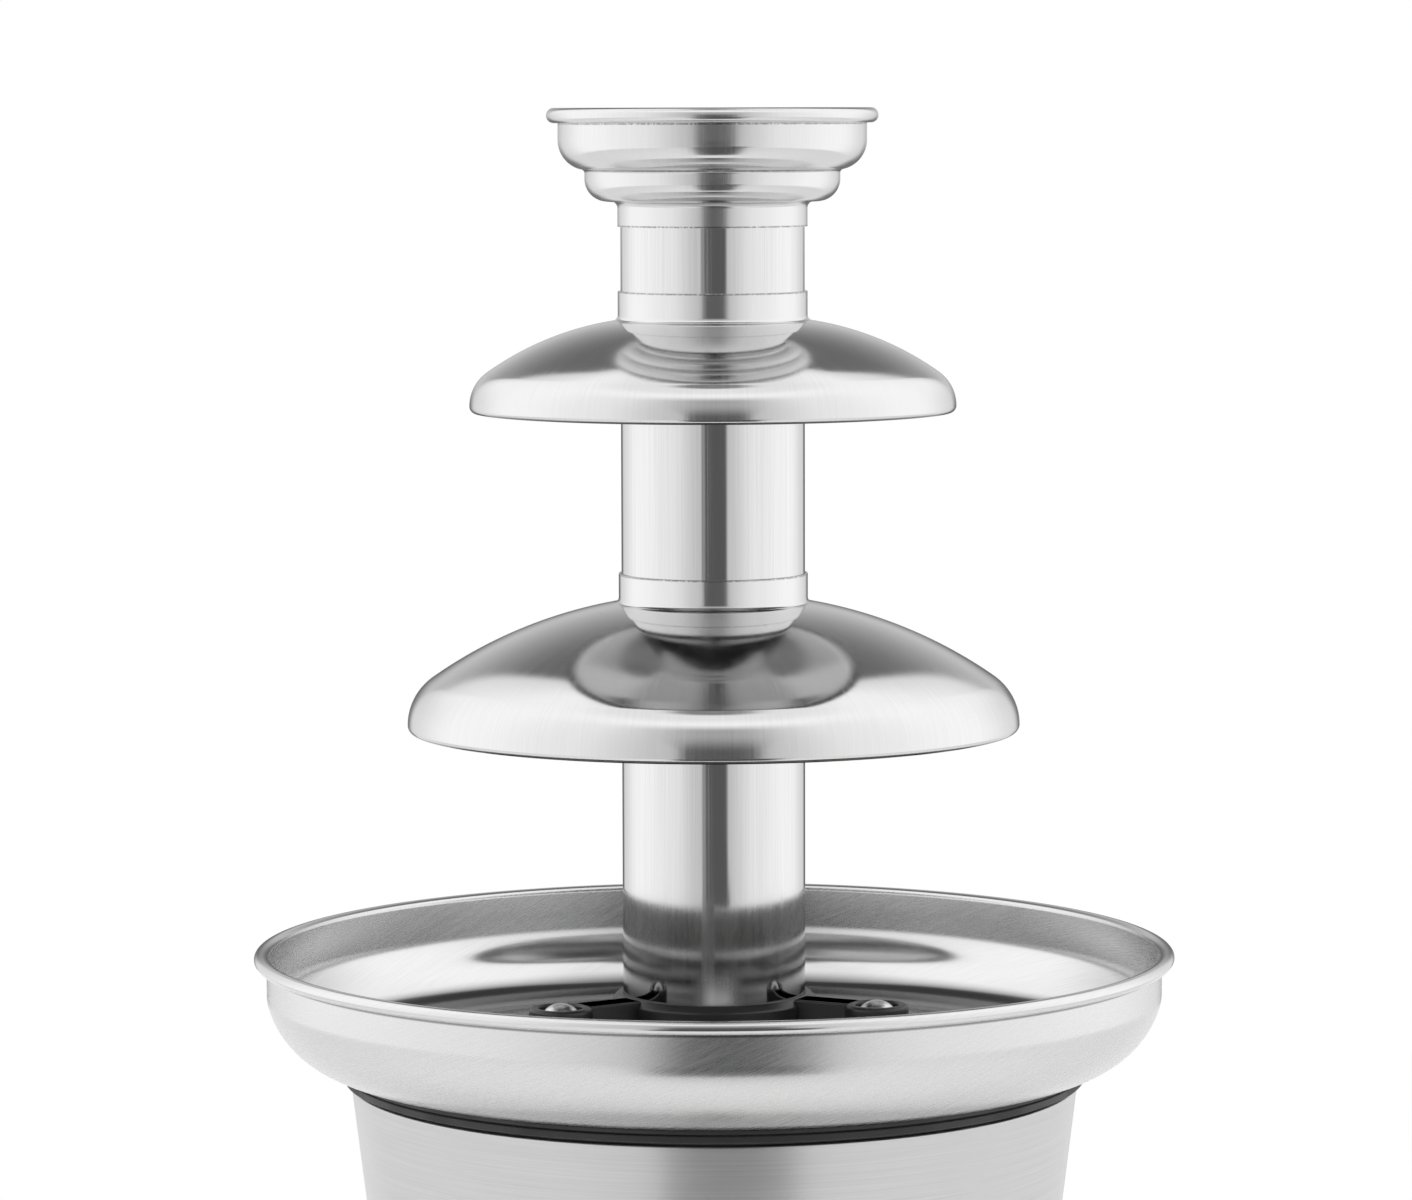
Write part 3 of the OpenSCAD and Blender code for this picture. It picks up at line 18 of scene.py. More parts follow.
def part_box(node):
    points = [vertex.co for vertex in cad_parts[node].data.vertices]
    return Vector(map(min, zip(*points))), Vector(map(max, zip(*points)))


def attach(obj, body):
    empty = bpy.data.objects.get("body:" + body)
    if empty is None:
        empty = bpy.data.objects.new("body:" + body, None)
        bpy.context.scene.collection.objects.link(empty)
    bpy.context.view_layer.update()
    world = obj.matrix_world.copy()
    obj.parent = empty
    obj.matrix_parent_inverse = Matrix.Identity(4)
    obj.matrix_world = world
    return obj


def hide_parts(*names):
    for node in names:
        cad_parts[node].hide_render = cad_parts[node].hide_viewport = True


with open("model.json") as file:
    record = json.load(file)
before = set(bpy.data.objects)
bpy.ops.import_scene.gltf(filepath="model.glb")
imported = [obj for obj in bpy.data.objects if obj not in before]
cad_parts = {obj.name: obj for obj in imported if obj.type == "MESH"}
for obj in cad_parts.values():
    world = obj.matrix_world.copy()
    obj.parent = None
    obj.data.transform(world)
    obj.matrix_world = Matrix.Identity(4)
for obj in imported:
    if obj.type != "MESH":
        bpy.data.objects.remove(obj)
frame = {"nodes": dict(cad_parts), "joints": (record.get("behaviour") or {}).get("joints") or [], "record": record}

Array = np.ndarray
Socket = bpy.types.NodeSocket
Sockets = bpy.types.NodeInputs
Value = Union[float, Sequence[float], Socket]
Colour = tuple[float, float, float]
Span = tuple[float, float]

log = logging.getLogger("fountain")

# MM is a millimetre in metres. The counts are steps round a turned piece or points on an arc. LONG_STEP,
# BRACE and SAME_POINT are lengths in millimetres, and CREASE is an angle.
MM = 0.001
COLUMNS = 288
WIDE_COLUMNS = 320
RING_COLUMNS = 192
EYE_COLUMNS = 96
SMALL_COLUMNS = 64
ARC_POINTS = 24
LONG_STEP = 2.5
BRACE = 0.25
SAME_POINT = 1e-6
CREASE = math.radians(38)


def arc(centre: Sequence[float], radius: float, start: float, end: float, count: int = ARC_POINTS) -> Array:
    """Points of an arc: the centre plus the radius times (cos, sin) of evenly spaced angles.

    Args:
        centre: Middle of the arc, as radius and height.
        radius: Radius of the arc.
        start: First angle in degrees.
        end: Last angle in degrees.
        count: Number of points.

    Returns:
        An array of points, count by 2.
    """
    angles = np.radians(np.linspace(start, end, count))
    return np.asarray(centre, float) + radius * np.column_stack([np.cos(angles), np.sin(angles)])


def joined(*parts: Union[Array, Sequence[Sequence[float]]]) -> Array:
    """Parts of an outline as one run of points, without points that repeat the one before.

    A long straight step gets a point close to each of its ends, so that the bend beside it doesn't tilt the
    shading all along it.

    Args:
        parts: Runs of points in order.

    Returns:
        The points of the whole run.
    """
    points = np.vstack([np.asarray(part, float) for part in parts])
    steps = np.linalg.norm(np.diff(points, axis=0, prepend=points[:1] - 1.0), axis=1)
    points = points[steps > SAME_POINT]
    step = np.diff(points, axis=0)
    length = np.linalg.norm(step, axis=1, keepdims=True)
    near = step * BRACE / length
    braced = np.stack([points[:-1], points[:-1] + near, points[1:] - near], 1).reshape(-1, 2)
    kept = (length > LONG_STEP) | np.array([True, False, False])
    return np.vstack([braced[kept.ravel()], points[-1:]])


def set_over(path: Array, distance: float) -> Array:
    """The path moved to its right-hand side, along the normal of the chord between each point's neighbours.

    Args:
        path: Points of the path.
        distance: How far it moves, negative for the left-hand side.

    Returns:
        As many points as the path has.
    """
    chord = np.gradient(path, axis=0)
    chord /= np.linalg.norm(chord, axis=1, keepdims=True)
    return path + distance * np.column_stack([chord[:, 1], -chord[:, 0]])


def rounded(corners: Sequence[Sequence[float]], count: int = 7) -> Array:
    """Closed outline with rounded corners.

    A corner is left on one side and met on the other at its own reach, and a parabola joins the two
    points: (1-t)^2 a + 2t(1-t) corner + t^2 b.

    Args:
        corners: Rows of radius, height and reach.
        count: Points on each corner.

    Returns:
        Points of the outline.
    """
    table = np.asarray(corners, float)
    at, reach = table[:, :2], table[:, 2:]
    back = np.roll(at, 1, axis=0) - at
    ahead = np.roll(at, -1, axis=0) - at
    leave = at + reach * back / np.linalg.norm(back, axis=1, keepdims=True)
    meet = at + reach * ahead / np.linalg.norm(ahead, axis=1, keepdims=True)
    t = np.linspace(0, 1, count)[:, None, None]
    curve = (1 - t) ** 2 * leave + 2 * t * (1 - t) * at + t**2 * meet
    return joined(curve.transpose(1, 0, 2).reshape(-1, 2))


def rolled_rim(inside: float, outside: float, centre: Sequence[float], radius: float) -> Array:
    """Arc of a rolled rim, from a wall's inside face over the top and down to its outside face.

    Args:
        inside: Radius of the wall's inside face.
        outside: Radius of the wall's outside face.
        centre: Middle of the roll, as radius and height.
        radius: Radius of the roll.

    Returns:
        Points of the rim.
    """
    start = 180 - math.degrees(math.acos(min(1.0, (centre[0] - inside) / radius)))
    end = math.degrees(math.acos(min(1.0, (centre[0] - outside) / radius))) - 180
    return arc(centre, radius, start, end, 2 * ARC_POINTS)


def jog(inner: float, outer: float, z: float, fillet: float, corner: float) -> Array:
    """S-shaped jog of a wall up and out: a hollow fillet arc, then a full corner arc tangent to it.

    The sine of the slope where they meet is 1 - (outer - inner) / (fillet + corner), and their centres lie
    (fillet + corner) times its cosine apart in height.

    Args:
        inner: Radius of the wall below.
        outer: Radius of the wall above.
        z: Height at which the fillet starts.
        fillet: Radius of the hollow fillet.
        corner: Radius of the full corner.

    Returns:
        Points of the jog, from the bottom up to the corner's middle height.
    """
    slope = math.asin(1 - min(1.0, (outer - inner) / (fillet + corner)))
    top = z + (fillet + corner) * math.cos(slope)
    bend = math.degrees(slope)
    return joined(arc((inner + fillet, z), fillet, 180, 90 + bend),
                  arc((outer - corner, top), corner, bend - 90, 0))


def smooth(value: Array, low: float, high: float) -> Array:
    """Smooth step from 0 at low to 1 at high: 3t^2 - 2t^3 of the clipped share t."""
    t = np.clip((value - low) / (high - low), 0, 1)
    return t * t * (3 - 2 * t)


def woven(rows: int, columns: int, closed_rows: bool) -> Array:
    """Quads between neighbouring points of a grid whose columns wrap round.

    Args:
        rows: Number of rows.
        columns: Number of columns.
        closed_rows: Whether the last row joins the first.

    Returns:
        Rows of four point numbers.
    """
    here = np.arange(rows * columns).reshape(rows, columns)
    ahead = np.roll(here, -1, axis=1)
    quads = np.stack([here, ahead, np.roll(ahead, -1, axis=0), np.roll(here, -1, axis=0)], -1)
    return quads[: rows if closed_rows else rows - 1].reshape(-1, 4)


@dataclass
class Surface:
    """A closed surface: points in millimetres, and arrays of faces with equal numbers of corners."""

    points: Array
    faces: list[Array]

    def volume(self) -> float:
        """Volume inside the faces, as a sum of tetrahedra that reach from the origin to fans of each face.

        Returns:
            The volume, negative where the faces point inwards.
        """
        total = 0.0
        for face in self.faces:
            first = self.points[face[:, :1]]
            fan = np.cross(self.points[face[:, 1:-1]], self.points[face[:, 2:]])
            total += float((first * fan).sum()) / 6
        return total

    def outward(self) -> "Surface":
        """Turn the faces to point out.

        Returns:
            The surface itself.
        """
        if self.volume() < 0:
            self.faces = [face[:, ::-1] for face in self.faces]
        return self

    def placed(self, place: "Place") -> "Surface":
        """The surface carried from a place's own axes to the part's frame."""
        return Surface(place.carry(self.points), self.faces).outward()

    def ringed(self, angles: Sequence[float], radius: float = 0.0, z: float = 0.0) -> "Surface":
        """Copies of the surface round the tower's axis, as one."""
        copies = [self.placed(Place.round_axis(angle, radius, z)) for angle in angles]
        return sum(copies[1:], copies[0])

    def __add__(self, other: "Surface") -> "Surface":
        """Both surfaces as one."""
        faces = self.faces + [face + len(self.points) for face in other.faces]
        return Surface(np.vstack([self.points, other.points]), faces)

    def mesh(self, name: str) -> bpy.types.Mesh:
        """Make a mesh of the surface, in metres.

        Args:
            name: Name of the mesh.

        Returns:
            The mesh.
        """
        mesh = bpy.data.meshes.new(name)
        faces = [row for face in self.faces for row in face.tolist()]
        mesh.from_pydata((self.points * MM).tolist(), [], faces)
        return mesh


@dataclass(frozen=True)
class Place:
    """A point with three axes of its own, in millimetres."""

    origin: Array
    axes: Array

    def carry(self, points: Array) -> Array:
        """Points given along the place's axes, in the part's frame."""
        return self.origin + points @ self.axes

    @classmethod
    def round_axis(cls, angle: float, radius: float = 0.0, z: float = 0.0) -> "Place":
        """A place turned about the tower's axis, its x axis pointing outwards.

        Args:
            angle: Angle from +X in degrees.
            radius: Distance from the axis.
            z: Height.

        Returns:
            The place.
        """
        out = np.array([math.cos(math.radians(angle)), math.sin(math.radians(angle)), 0.0])
        side = np.array([-out[1], out[0], 0.0])
        up = np.array([0.0, 0.0, 1.0])
        return cls(radius * out + z * up, np.stack([out, side, up]))

    @classmethod
    def on_wall(cls, point: Array, normal: Array) -> "Place":
        """A place on a slanted wall, its z axis along the normal and its y axis level.

        Args:
            point: Point on the wall.
            normal: Direction out of the wall.

        Returns:
            The place.
        """
        out = normal / np.linalg.norm(normal)
        level = np.cross([0.0, 0.0, 1.0], out)
        level /= np.linalg.norm(level)
        return cls(point, np.stack([np.cross(level, out), level, out]))


def lathe(outline: Array, columns: int = COLUMNS, angles: Optional[Array] = None,
          relief: Optional[Array] = None) -> Surface:
    """An outline turned about the Z axis: (r cos a, r sin a, z) for every outline point and angle.

    An outline that starts and ends on the axis gets one point at each pole, and any other is a closed loop.

    Args:
        outline: Rows of radius and height.
        columns: Number of even steps round the axis.
        angles: Angles in radians to take instead of even steps.
        relief: Heights added to the radius, one for each outline point and angle.

    Returns:
        The closed surface.
    """
    turn = np.linspace(0, 2 * math.pi, columns, endpoint=False) if angles is None else angles
    radius = outline[:, :1] + (0 if relief is None else relief)
    height = outline[:, 1:] + 0 * turn
    grid = np.stack([radius * np.cos(turn), radius * np.sin(turn), height], -1)
    count = len(turn)
    if outline[0, 0] > SAME_POINT or outline[-1, 0] > SAME_POINT:
        return Surface(grid.reshape(-1, 3), [woven(len(outline), count, True)]).outward()
    rows = len(outline) - 2
    first = np.arange(count)
    last = first + (rows - 1) * count
    pole = np.full(count, rows * count)
    fans = [np.column_stack([pole, np.roll(first, -1), first]),
            np.column_stack([pole + 1, last, np.roll(last, -1)])]
    points = np.vstack([grid[1:-1].reshape(-1, 3), grid[0, :1], grid[-1, :1]])
    return Surface(points, [woven(rows, count, False), *fans]).outward()


def sweep(sections: Array) -> Surface:
    """Closed loops carried along a path and joined to a tube with flat ends.

    Args:
        sections: Loops of points, path steps by loop points by 3.

    Returns:
        The closed surface.
    """
    steps, count, _ = sections.shape
    ends = [np.arange(count)[None, ::-1], np.arange((steps - 1) * count, steps * count)[None]]
    return Surface(sections.reshape(-1, 3), [woven(steps, count, False), *ends]).outward()


def bar(loop: Array, reach: Sequence[float]) -> Surface:
    """A loop of y and z carried straight along X, through each x of its reach."""
    return sweep(np.stack([np.column_stack([np.full(len(loop), x), loop]) for x in reach]))


def node_box(node: str) -> tuple[Array, Array]:
    """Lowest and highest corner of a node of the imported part, in millimetres."""
    low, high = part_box(node)
    return np.array(low) / MM, np.array(high) / MM


def set_out(name: str, data: bpy.types.ID) -> bpy.types.Object:
    """Put a new object in the scene.

    Args:
        name: Name of the object.
        data: Its mesh, lamp or camera.

    Returns:
        The object.
    """
    obj = bpy.data.objects.new(name, data)
    bpy.context.scene.collection.objects.link(obj)
    return obj


class Graph:
    """A node tree with short calls that add nodes and link them."""

    def __init__(self, tree: bpy.types.NodeTree) -> None:
        """Take a tree and empty it."""
        self.tree = tree
        tree.nodes.clear()

    @classmethod
    def material(cls, name: str) -> "Graph":
        """A graph on a new material.

        Args:
            name: Name of the material.

        Returns:
            The graph, with the material as its owner.
        """
        material = bpy.data.materials.new(name)
        material.use_nodes = True
        graph = cls(material.node_tree)
        graph.owner = material
        return graph

    @classmethod
    def group(cls, name: str, inputs: dict[str, str], outputs: dict[str, str]) -> "Graph":
        """A graph on a new node group.

        Args:
            name: Name of the group.
            inputs: Socket names and their types, such as Float or Vector.
            outputs: The same for the outputs.

        Returns:
            The graph, with the group's ends as its entry and leave sockets.
        """
        graph = cls(bpy.data.node_groups.new(name, "ShaderNodeTree"))
        for side, sockets in (("INPUT", inputs), ("OUTPUT", outputs)):
            for socket, kind in sockets.items():
                graph.tree.interface.new_socket(socket, in_out=side, socket_type="NodeSocket" + kind)
        graph.entry = graph.add("NodeGroupInput").outputs
        graph.leave = graph.add("NodeGroupOutput").inputs
        return graph

    def add(self, kind: str, inputs: Optional[dict] = None, **settings) -> bpy.types.Node:
        """Add a node.

        Args:
            kind: Blender's name of the node type.
            inputs: Values or sockets for its inputs, by name or number.
            **settings: Properties of the node.

        Returns:
            The new node.
        """
        node = self.tree.nodes.new(kind)
        for key, value in settings.items():
            setattr(node, key, value)
        self.fill(node.inputs, inputs or {})
        return node

    def fill(self, sockets: Sockets, values: dict) -> None:
        """Link or set several inputs, by name or number."""
        for key, value in values.items():
            self.put(sockets[key], value)

    def put(self, socket: Socket, value: Value) -> None:
        """Link another socket to an input, or set its value.

        Args:
            socket: The input.
            value: A socket, a number, a vector or a colour.
        """
        if isinstance(value, Socket):
            self.tree.links.new(value, socket)
        elif isinstance(value, (int, float)) or socket.type != "RGBA":
            socket.default_value = value
        else:
            socket.default_value = (*value[:3], 1.0)

    @staticmethod
    def came_from(socket: Socket) -> Socket:
        """The socket that is linked to this one."""
        return socket.links[0].from_socket

    def use(self, group: bpy.types.NodeTree, **inputs: Value) -> bpy.types.NodeOutputs:
        """Place a node group with its inputs, which are named in lower case here, and give its outputs."""
        values = {key.capitalize(): value for key, value in inputs.items()}
        return self.add("ShaderNodeGroup", values, node_tree=group).outputs

    def math(self, operation: str, *values: Value) -> Socket:
        """Result of a math node."""
        return self.add("ShaderNodeMath", dict(enumerate(values)), operation=operation).outputs[0]

    def times(self, first: Value, *others: Value) -> Socket:
        """Product of two or more values.

        Args:
            first: A value.
            *others: Values that multiply it.

        Returns:
            The product.
        """
        for other in others:
            first = self.math("MULTIPLY", first, other)
        return first

    def apart(self, value: Value, other: Value) -> Socket:
        """How far a value is from another."""
        return self.math("ABSOLUTE", self.math("SUBTRACT", value, other))

    def slide(self, share: Value, first: Value, second: Value) -> Socket:
        """A number between two others: share * second + (1 - share) * first."""
        rest = self.times(self.math("SUBTRACT", 1.0, share), first)
        return self.math("MULTIPLY_ADD", share, second, rest)

    def span(self, value: Value, low: float, high: float, to_low: float = 0.0,
             to_high: float = 1.0) -> Socket:
        """Value carried smoothly from one range to another and held at its ends.

        Args:
            value: The value.
            low: Start of its range.
            high: End of its range.
            to_low: What the start becomes.
            to_high: What the end becomes.

        Returns:
            The carried value.
        """
        node = self.add("ShaderNodeMapRange", interpolation_type="SMOOTHSTEP")
        for socket, number in zip(node.inputs, (value, low, high, to_low, to_high)):
            self.put(socket, number)
        return node.outputs[0]

    def rise(self, value: Value, reach: Span) -> Socket:
        """0 below a reach in millimetres, and 1 above it."""
        return self.span(value, reach[0] * MM, reach[1] * MM)

    def fade(self, value: Value, reach: Span) -> Socket:
        """1 below a reach in millimetres, and 0 above it."""
        return self.span(value, reach[0] * MM, reach[1] * MM, 1, 0)

    def blend(self, share: Value, first: Value, second: Value) -> Socket:
        """Mix of two colours."""
        return self.add("ShaderNodeMix", {0: share, 6: first, 7: second}, data_type="RGBA").outputs[2]

    def noise(self, vector: Value, scale: Value, detail: float = 2.0, roughness: float = 0.5) -> Socket:
        """Value of a noise texture."""
        return self.add("ShaderNodeTexNoise", {"Vector": vector, "Scale": scale, "Detail": detail,
                                               "Roughness": roughness}).outputs[0]

    def bump(self, height: Value, strength: float, depth: float) -> Socket:
        """Normal of a relief that is so many millimetres deep."""
        return self.add("ShaderNodeBump", {"Strength": strength, "Distance": depth * MM,
                                           "Height": height}).outputs[0]

    def object_point(self) -> Socket:
        """The point in the object's own coordinates."""
        return self.add("ShaderNodeTexCoord").outputs["Object"]

    def parts(self, point: Value) -> bpy.types.NodeOutputs:
        """The three coordinates of a point."""
        return self.add("ShaderNodeSeparateXYZ", {0: point}).outputs

    def radius(self, part: bpy.types.NodeOutputs) -> Socket:
        """Distance from the Z axis of a point given by its coordinates."""
        square = self.math("MULTIPLY_ADD", part[0], part[0], self.times(part[1], part[1]))
        return self.math("SQRT", square)

    def kept(self, name: str) -> Socket:
        """A value that the mesh keeps for its points, or 0 where it keeps none."""
        return self.add("ShaderNodeAttribute", attribute_name=name).outputs["Fac"]

    def mapped(self, vector: Value, turn: Sequence[float], scale: Sequence[float]) -> Socket:
        """Vector turned by angles in degrees and scaled along its axes."""
        angles = [math.radians(angle) for angle in turn]
        turned = self.add("ShaderNodeMapping", {"Vector": vector, "Rotation": angles})
        return self.add("ShaderNodeMapping", {"Vector": turned.outputs[0], "Scale": scale}).outputs[0]


class Effects:
    """Node groups that several finishes share, built once."""

    def __init__(self) -> None:
        """Build every group."""
        self.turned = self.turned_point()
        self.strokes = self.brush_strokes()
        self.smudge = self.smudges()
        self.grain = self.moulding_grain()

    @staticmethod
    def turned_point() -> bpy.types.NodeTree:
        """Point for marks that run from a turned piece's neck to its rim.

        The direction from the axis, times Sweep, gives two coordinates that change fast round a ring, and
        (radius + Lean * height) times Fineness gives one that changes slowly from ring to ring.

        Returns:
            The node group.
        """
        graph = Graph.group("turned_point", {"Vector": "Vector", "Sweep": "Float", "Fineness": "Float",
                                             "Lean": "Float"}, {"Vector": "Vector"})
        source = graph.entry
        part = graph.parts(source["Vector"])
        radius = graph.math("MAXIMUM", graph.radius(part), math.sqrt(SAME_POINT * MM))
        swept = graph.math("DIVIDE", source["Sweep"], radius)
        along = graph.math("MULTIPLY_ADD", part[2], source["Lean"], radius)
        point = graph.add("ShaderNodeCombineXYZ", {
            0: graph.times(part[0], swept), 1: graph.times(part[1], swept),
            2: graph.times(along, source["Fineness"])})
        graph.put(graph.leave["Vector"], point.outputs[0])
        return graph.tree

    @staticmethod
    def brush_strokes() -> bpy.types.NodeTree:
        """Fine strokes and a few deeper scratches of a brush, on a point that is already stretched.

        Returns:
            The node group.
        """
        graph = Graph.group("brush_strokes", {"Vector": "Vector"}, {"Strokes": "Float", "Scratches": "Float"})
        fine = graph.noise(graph.entry["Vector"], 1.0, 4.0, 0.62)
        broad = graph.noise(graph.entry["Vector"], 0.31, 2.0, 0.5)
        graph.fill(graph.leave, {"Strokes": graph.span(fine, 0.25, 0.75),
                                 "Scratches": graph.span(broad, 0.6, 0.74)})
        return graph.tree

    @staticmethod
    def smudges() -> bpy.types.NodeTree:
        """Soft uneven patches that handling leaves.

        Returns:
            The node group.
        """
        graph = Graph.group("smudges", {"Vector": "Vector", "Scale": "Float"}, {"Smudge": "Float"})
        cloud = graph.noise(graph.entry["Vector"], graph.entry["Scale"], 3.0, 0.55)
        graph.put(graph.leave["Smudge"], graph.span(cloud, 0.35, 0.7))
        return graph.tree

    @staticmethod
    def moulding_grain() -> bpy.types.NodeTree:
        """Fine spark-eroded grain of a mould, with a soft waviness under it.

        Returns:
            The node group.
        """
        graph = Graph.group("moulding_grain", {"Vector": "Vector", "Scale": "Float"},
                            {"Grain": "Float", "Wave": "Float"})
        point, scale = graph.entry["Vector"], graph.entry["Scale"]
        cells = graph.add("ShaderNodeTexVoronoi", {"Vector": point, "Scale": scale})
        wave = graph.noise(point, graph.times(scale, 0.04))
        graph.fill(graph.leave, {"Grain": cells.outputs["Distance"], "Wave": wave})
        return graph.tree


class Brush(Enum):
    """How the marks of finishing run on a metal surface."""

    MERIDIAN = "lines from a turned piece's neck to its rim"
    UPRIGHT = "lines up and down"
    LEVEL = "lines round the housing"
    SLANTED = "slanting buffing strokes"
    CAST = "grains of a casting or a plating"


def grey(value: float) -> Colour:
    """A colour without hue."""
    return (value, value, value)


@dataclass(frozen=True)
class Finish:
    """The look of one material slot."""

    slot: str

    def material(self, effects: Effects) -> bpy.types.Material:
        """Build the material.

        Args:
            effects: Shared node groups.

        Returns:
            The material.
        """
        graph = Graph.material(self.slot)
        shader = graph.add("ShaderNodeBsdfPrincipled")
        graph.add("ShaderNodeOutputMaterial", {0: shader.outputs[0]})
        self.dress(graph, effects, shader.inputs)
        return graph.owner

    def dress(self, graph: Graph, effects: Effects, look: Sockets) -> None:
        """Set the shader's inputs, which every kind of finish does in its own way.

        Args:
            graph: Graph of the material.
            effects: Shared node groups.
            look: Inputs of the shader.
        """
        raise NotImplementedError(self.slot)

    @staticmethod
    def smudged(graph: Graph, effects: Effects, scale: float, roughness: Span) -> Socket:
        """Roughness that the smudges of handling carry between two values."""
        smudge = graph.use(effects.smudge, vector=graph.object_point(), scale=scale)[0]
        return graph.span(smudge, 0, 1, *roughness)


@dataclass(frozen=True)
class MetalFinish(Finish):
    """A bare metal: its colour, its gloss and the marks of its finishing."""

    light: Colour
    dark: Colour
    brush: Brush
    roughness: Span
    across: float = 0.5
    along: float = 40.0
    relief: float = 0.02
    strength: float = 0.3
    lean: float = -1.0
    brush_r: float = 60.0
    slant: float = 24.0
    smudge_scale: float = 35.0
    smudge_rough: float = 0.04
    anisotropic: float = 0.0
    stretch_turn: float = 0.0

    def stroke_point(self, graph: Graph, effects: Effects) -> Socket:
        """The surface point stretched along the strokes.

        Args:
            graph: Graph of the material.
            effects: Shared node groups.

        Returns:
            A vector whose unit is one stroke's width across and one stroke's length along.
        """
        point = graph.object_point()
        wide, long = 1 / (self.across * MM), 1 / (self.along * MM)
        if self.brush is Brush.MERIDIAN:
            return graph.use(effects.turned, vector=point, sweep=self.brush_r * MM * wide, fineness=long,
                             lean=self.lean)[0]
        turn = (0, self.slant if self.brush is Brush.SLANTED else 0, 0)
        scale = {Brush.UPRIGHT: (wide, wide, long), Brush.CAST: (wide, wide, wide)}
        return graph.mapped(point, turn, scale.get(self.brush, (long, long, wide)))

    def dress(self, graph: Graph, effects: Effects, look: Sockets) -> None:
        """Give the shader the metal's colour, gloss and strokes.

        Args:
            graph: Graph of the material.
            effects: Shared node groups.
            look: Inputs of the shader.
        """
        marks = graph.use(effects.strokes, vector=self.stroke_point(graph, effects))
        smudge = graph.use(effects.smudge, vector=graph.object_point(), scale=self.smudge_scale)[0]
        rough = graph.span(marks["Strokes"], 0, 1, *self.roughness)
        for wear in (smudge, marks["Scratches"]):
            rough = graph.math("MULTIPLY_ADD", wear, self.smudge_rough, rough)
        graph.fill(look, {
            "Base Color": graph.blend(marks["Strokes"], self.dark, self.light), "Metallic": 1.0,
            "Roughness": rough, "Normal": graph.bump(marks["Strokes"], self.strength, self.relief),
            "Anisotropic": self.anisotropic, "Anisotropic Rotation": self.stretch_turn})


@dataclass(frozen=True)
class TubeFinish(MetalFinish):
    """Tube steel with the ground weld seam along its front, a painted reflection darkening its foot, and a rougher
    front scuff with a painted highlight.
    """

    front_y: Span = (-5.0, 0.0)
    seam_x: float = -1.45
    seam_w: Span = (0.95, 1.9)
    seam_rough: float = 0.08
    foot_z: Span = (139.0, 147.0)
    # Painted reflection: the foot is coloured darker, standing in for the bowl's wall mirrored in it.
    foot_dark: Colour = grey(0.24)
    scuff_highlight_x: float = 1.0
    scuff_highlight_w: Span = (1.0, 7.0)
    scuff_highlight_z: Span = (137.5, 148.0)
    scuff_rough: float = 0.36
    # Painted highlight: the scuff's pale colour stands in for a glint at the front of the foot.
    painted_scuff_highlight: Colour = grey(0.86)

    def dress(self, graph: Graph, effects: Effects, look: Sockets) -> None:
        """Add the seam's duller strip, the painted reflection on the foot and the rougher scuff with its painted
        highlight to the metal.

        Args:
            graph: Graph of the material.
            effects: Shared node groups.
            look: Inputs of the shader.
        """
        super().dress(graph, effects, look)
        part = graph.parts(graph.object_point())
        front = graph.fade(part[1], self.front_y)
        seam = graph.times(graph.fade(graph.apart(part[0], self.seam_x * MM), self.seam_w), front)
        # A rougher scuff at the front of the foot, which also carries the painted highlight.
        scuff_and_highlight = graph.times(graph.fade(graph.apart(part[0], self.scuff_highlight_x * MM), self.scuff_highlight_w), front,
                            graph.fade(part[2], self.scuff_highlight_z))
        rough = graph.came_from(look["Roughness"])
        for mask, rougher in ((seam, self.seam_rough), (scuff_and_highlight, self.scuff_rough)):
            rough = graph.math("MULTIPLY_ADD", mask, rougher, rough)
        colour = graph.came_from(look["Base Color"])
        # Painted reflection and painted highlight: the foot is coloured darker where it mirrors the bowl, and the
        # scuff paler.
        for mask, change in ((graph.fade(part[2], self.foot_z), self.foot_dark), (scuff_and_highlight, self.painted_scuff_highlight)):
            colour = graph.blend(mask, colour, change)
        graph.fill(look, {"Roughness": rough, "Base Color": colour})


@dataclass(frozen=True)
class SpunFinish(MetalFinish):
    """Spun steel, softer on the crown, with painted shade in its creases and a painted shade line along the hems.
    """

    crown_z: Span = (316.0, 317.0)
    crown_rough: float = 0.04
    crease_z: tuple[float, ...] = (339.2, 350.5, 325.7, 309.6, 240.5)
    crease_w: float = 0.35
    # Painted shade: thin dark lines where parts meet at their creases, broken up by noise.
    painted_crease_shade: Colour = grey(0.22)
    shade_break_scale: float = 1900.0
    shade_break_share: Span = (0.36, 0.54)
    # Painted shade along the turned-under hem.
    painted_hem_shade: Colour = grey(0.09)

    def dress(self, graph: Graph, effects: Effects, look: Sockets) -> None:
        """Add the crown's softness, the painted crease shade and, where the mesh's own edge value is 1, the hem's
        painted shade line.

        Args:
            graph: Graph of the material.
            effects: Shared node groups.
            look: Inputs of the shader.
        """
        super().dress(graph, effects, look)
        point = graph.object_point()
        height = graph.parts(point)[2]
        # Painted shade along each crease height, broken up by noise.
        crease_shade = 0.0
        for z in self.crease_z:
            line = graph.fade(graph.apart(height, z * MM), (0.0, self.crease_w))
            crease_shade = graph.math("ADD", crease_shade, line)
        shade_breaks = graph.span(graph.noise(point, self.shade_break_scale, 3.0, 0.7), *self.shade_break_share)
        crease_shade = graph.times(crease_shade, shade_breaks)
        rough = graph.came_from(look["Roughness"])
        rough = graph.math("MULTIPLY_ADD", graph.rise(height, self.crown_z), self.crown_rough, rough)
        colour = graph.blend(crease_shade, graph.came_from(look["Base Color"]), self.painted_crease_shade)
        # Painted shade on the hem, where the mesh's edge value is 1.
        colour = graph.blend(graph.kept("edge"), colour, self.painted_hem_shade)
        graph.fill(look, {"Roughness": rough, "Base Color": colour})


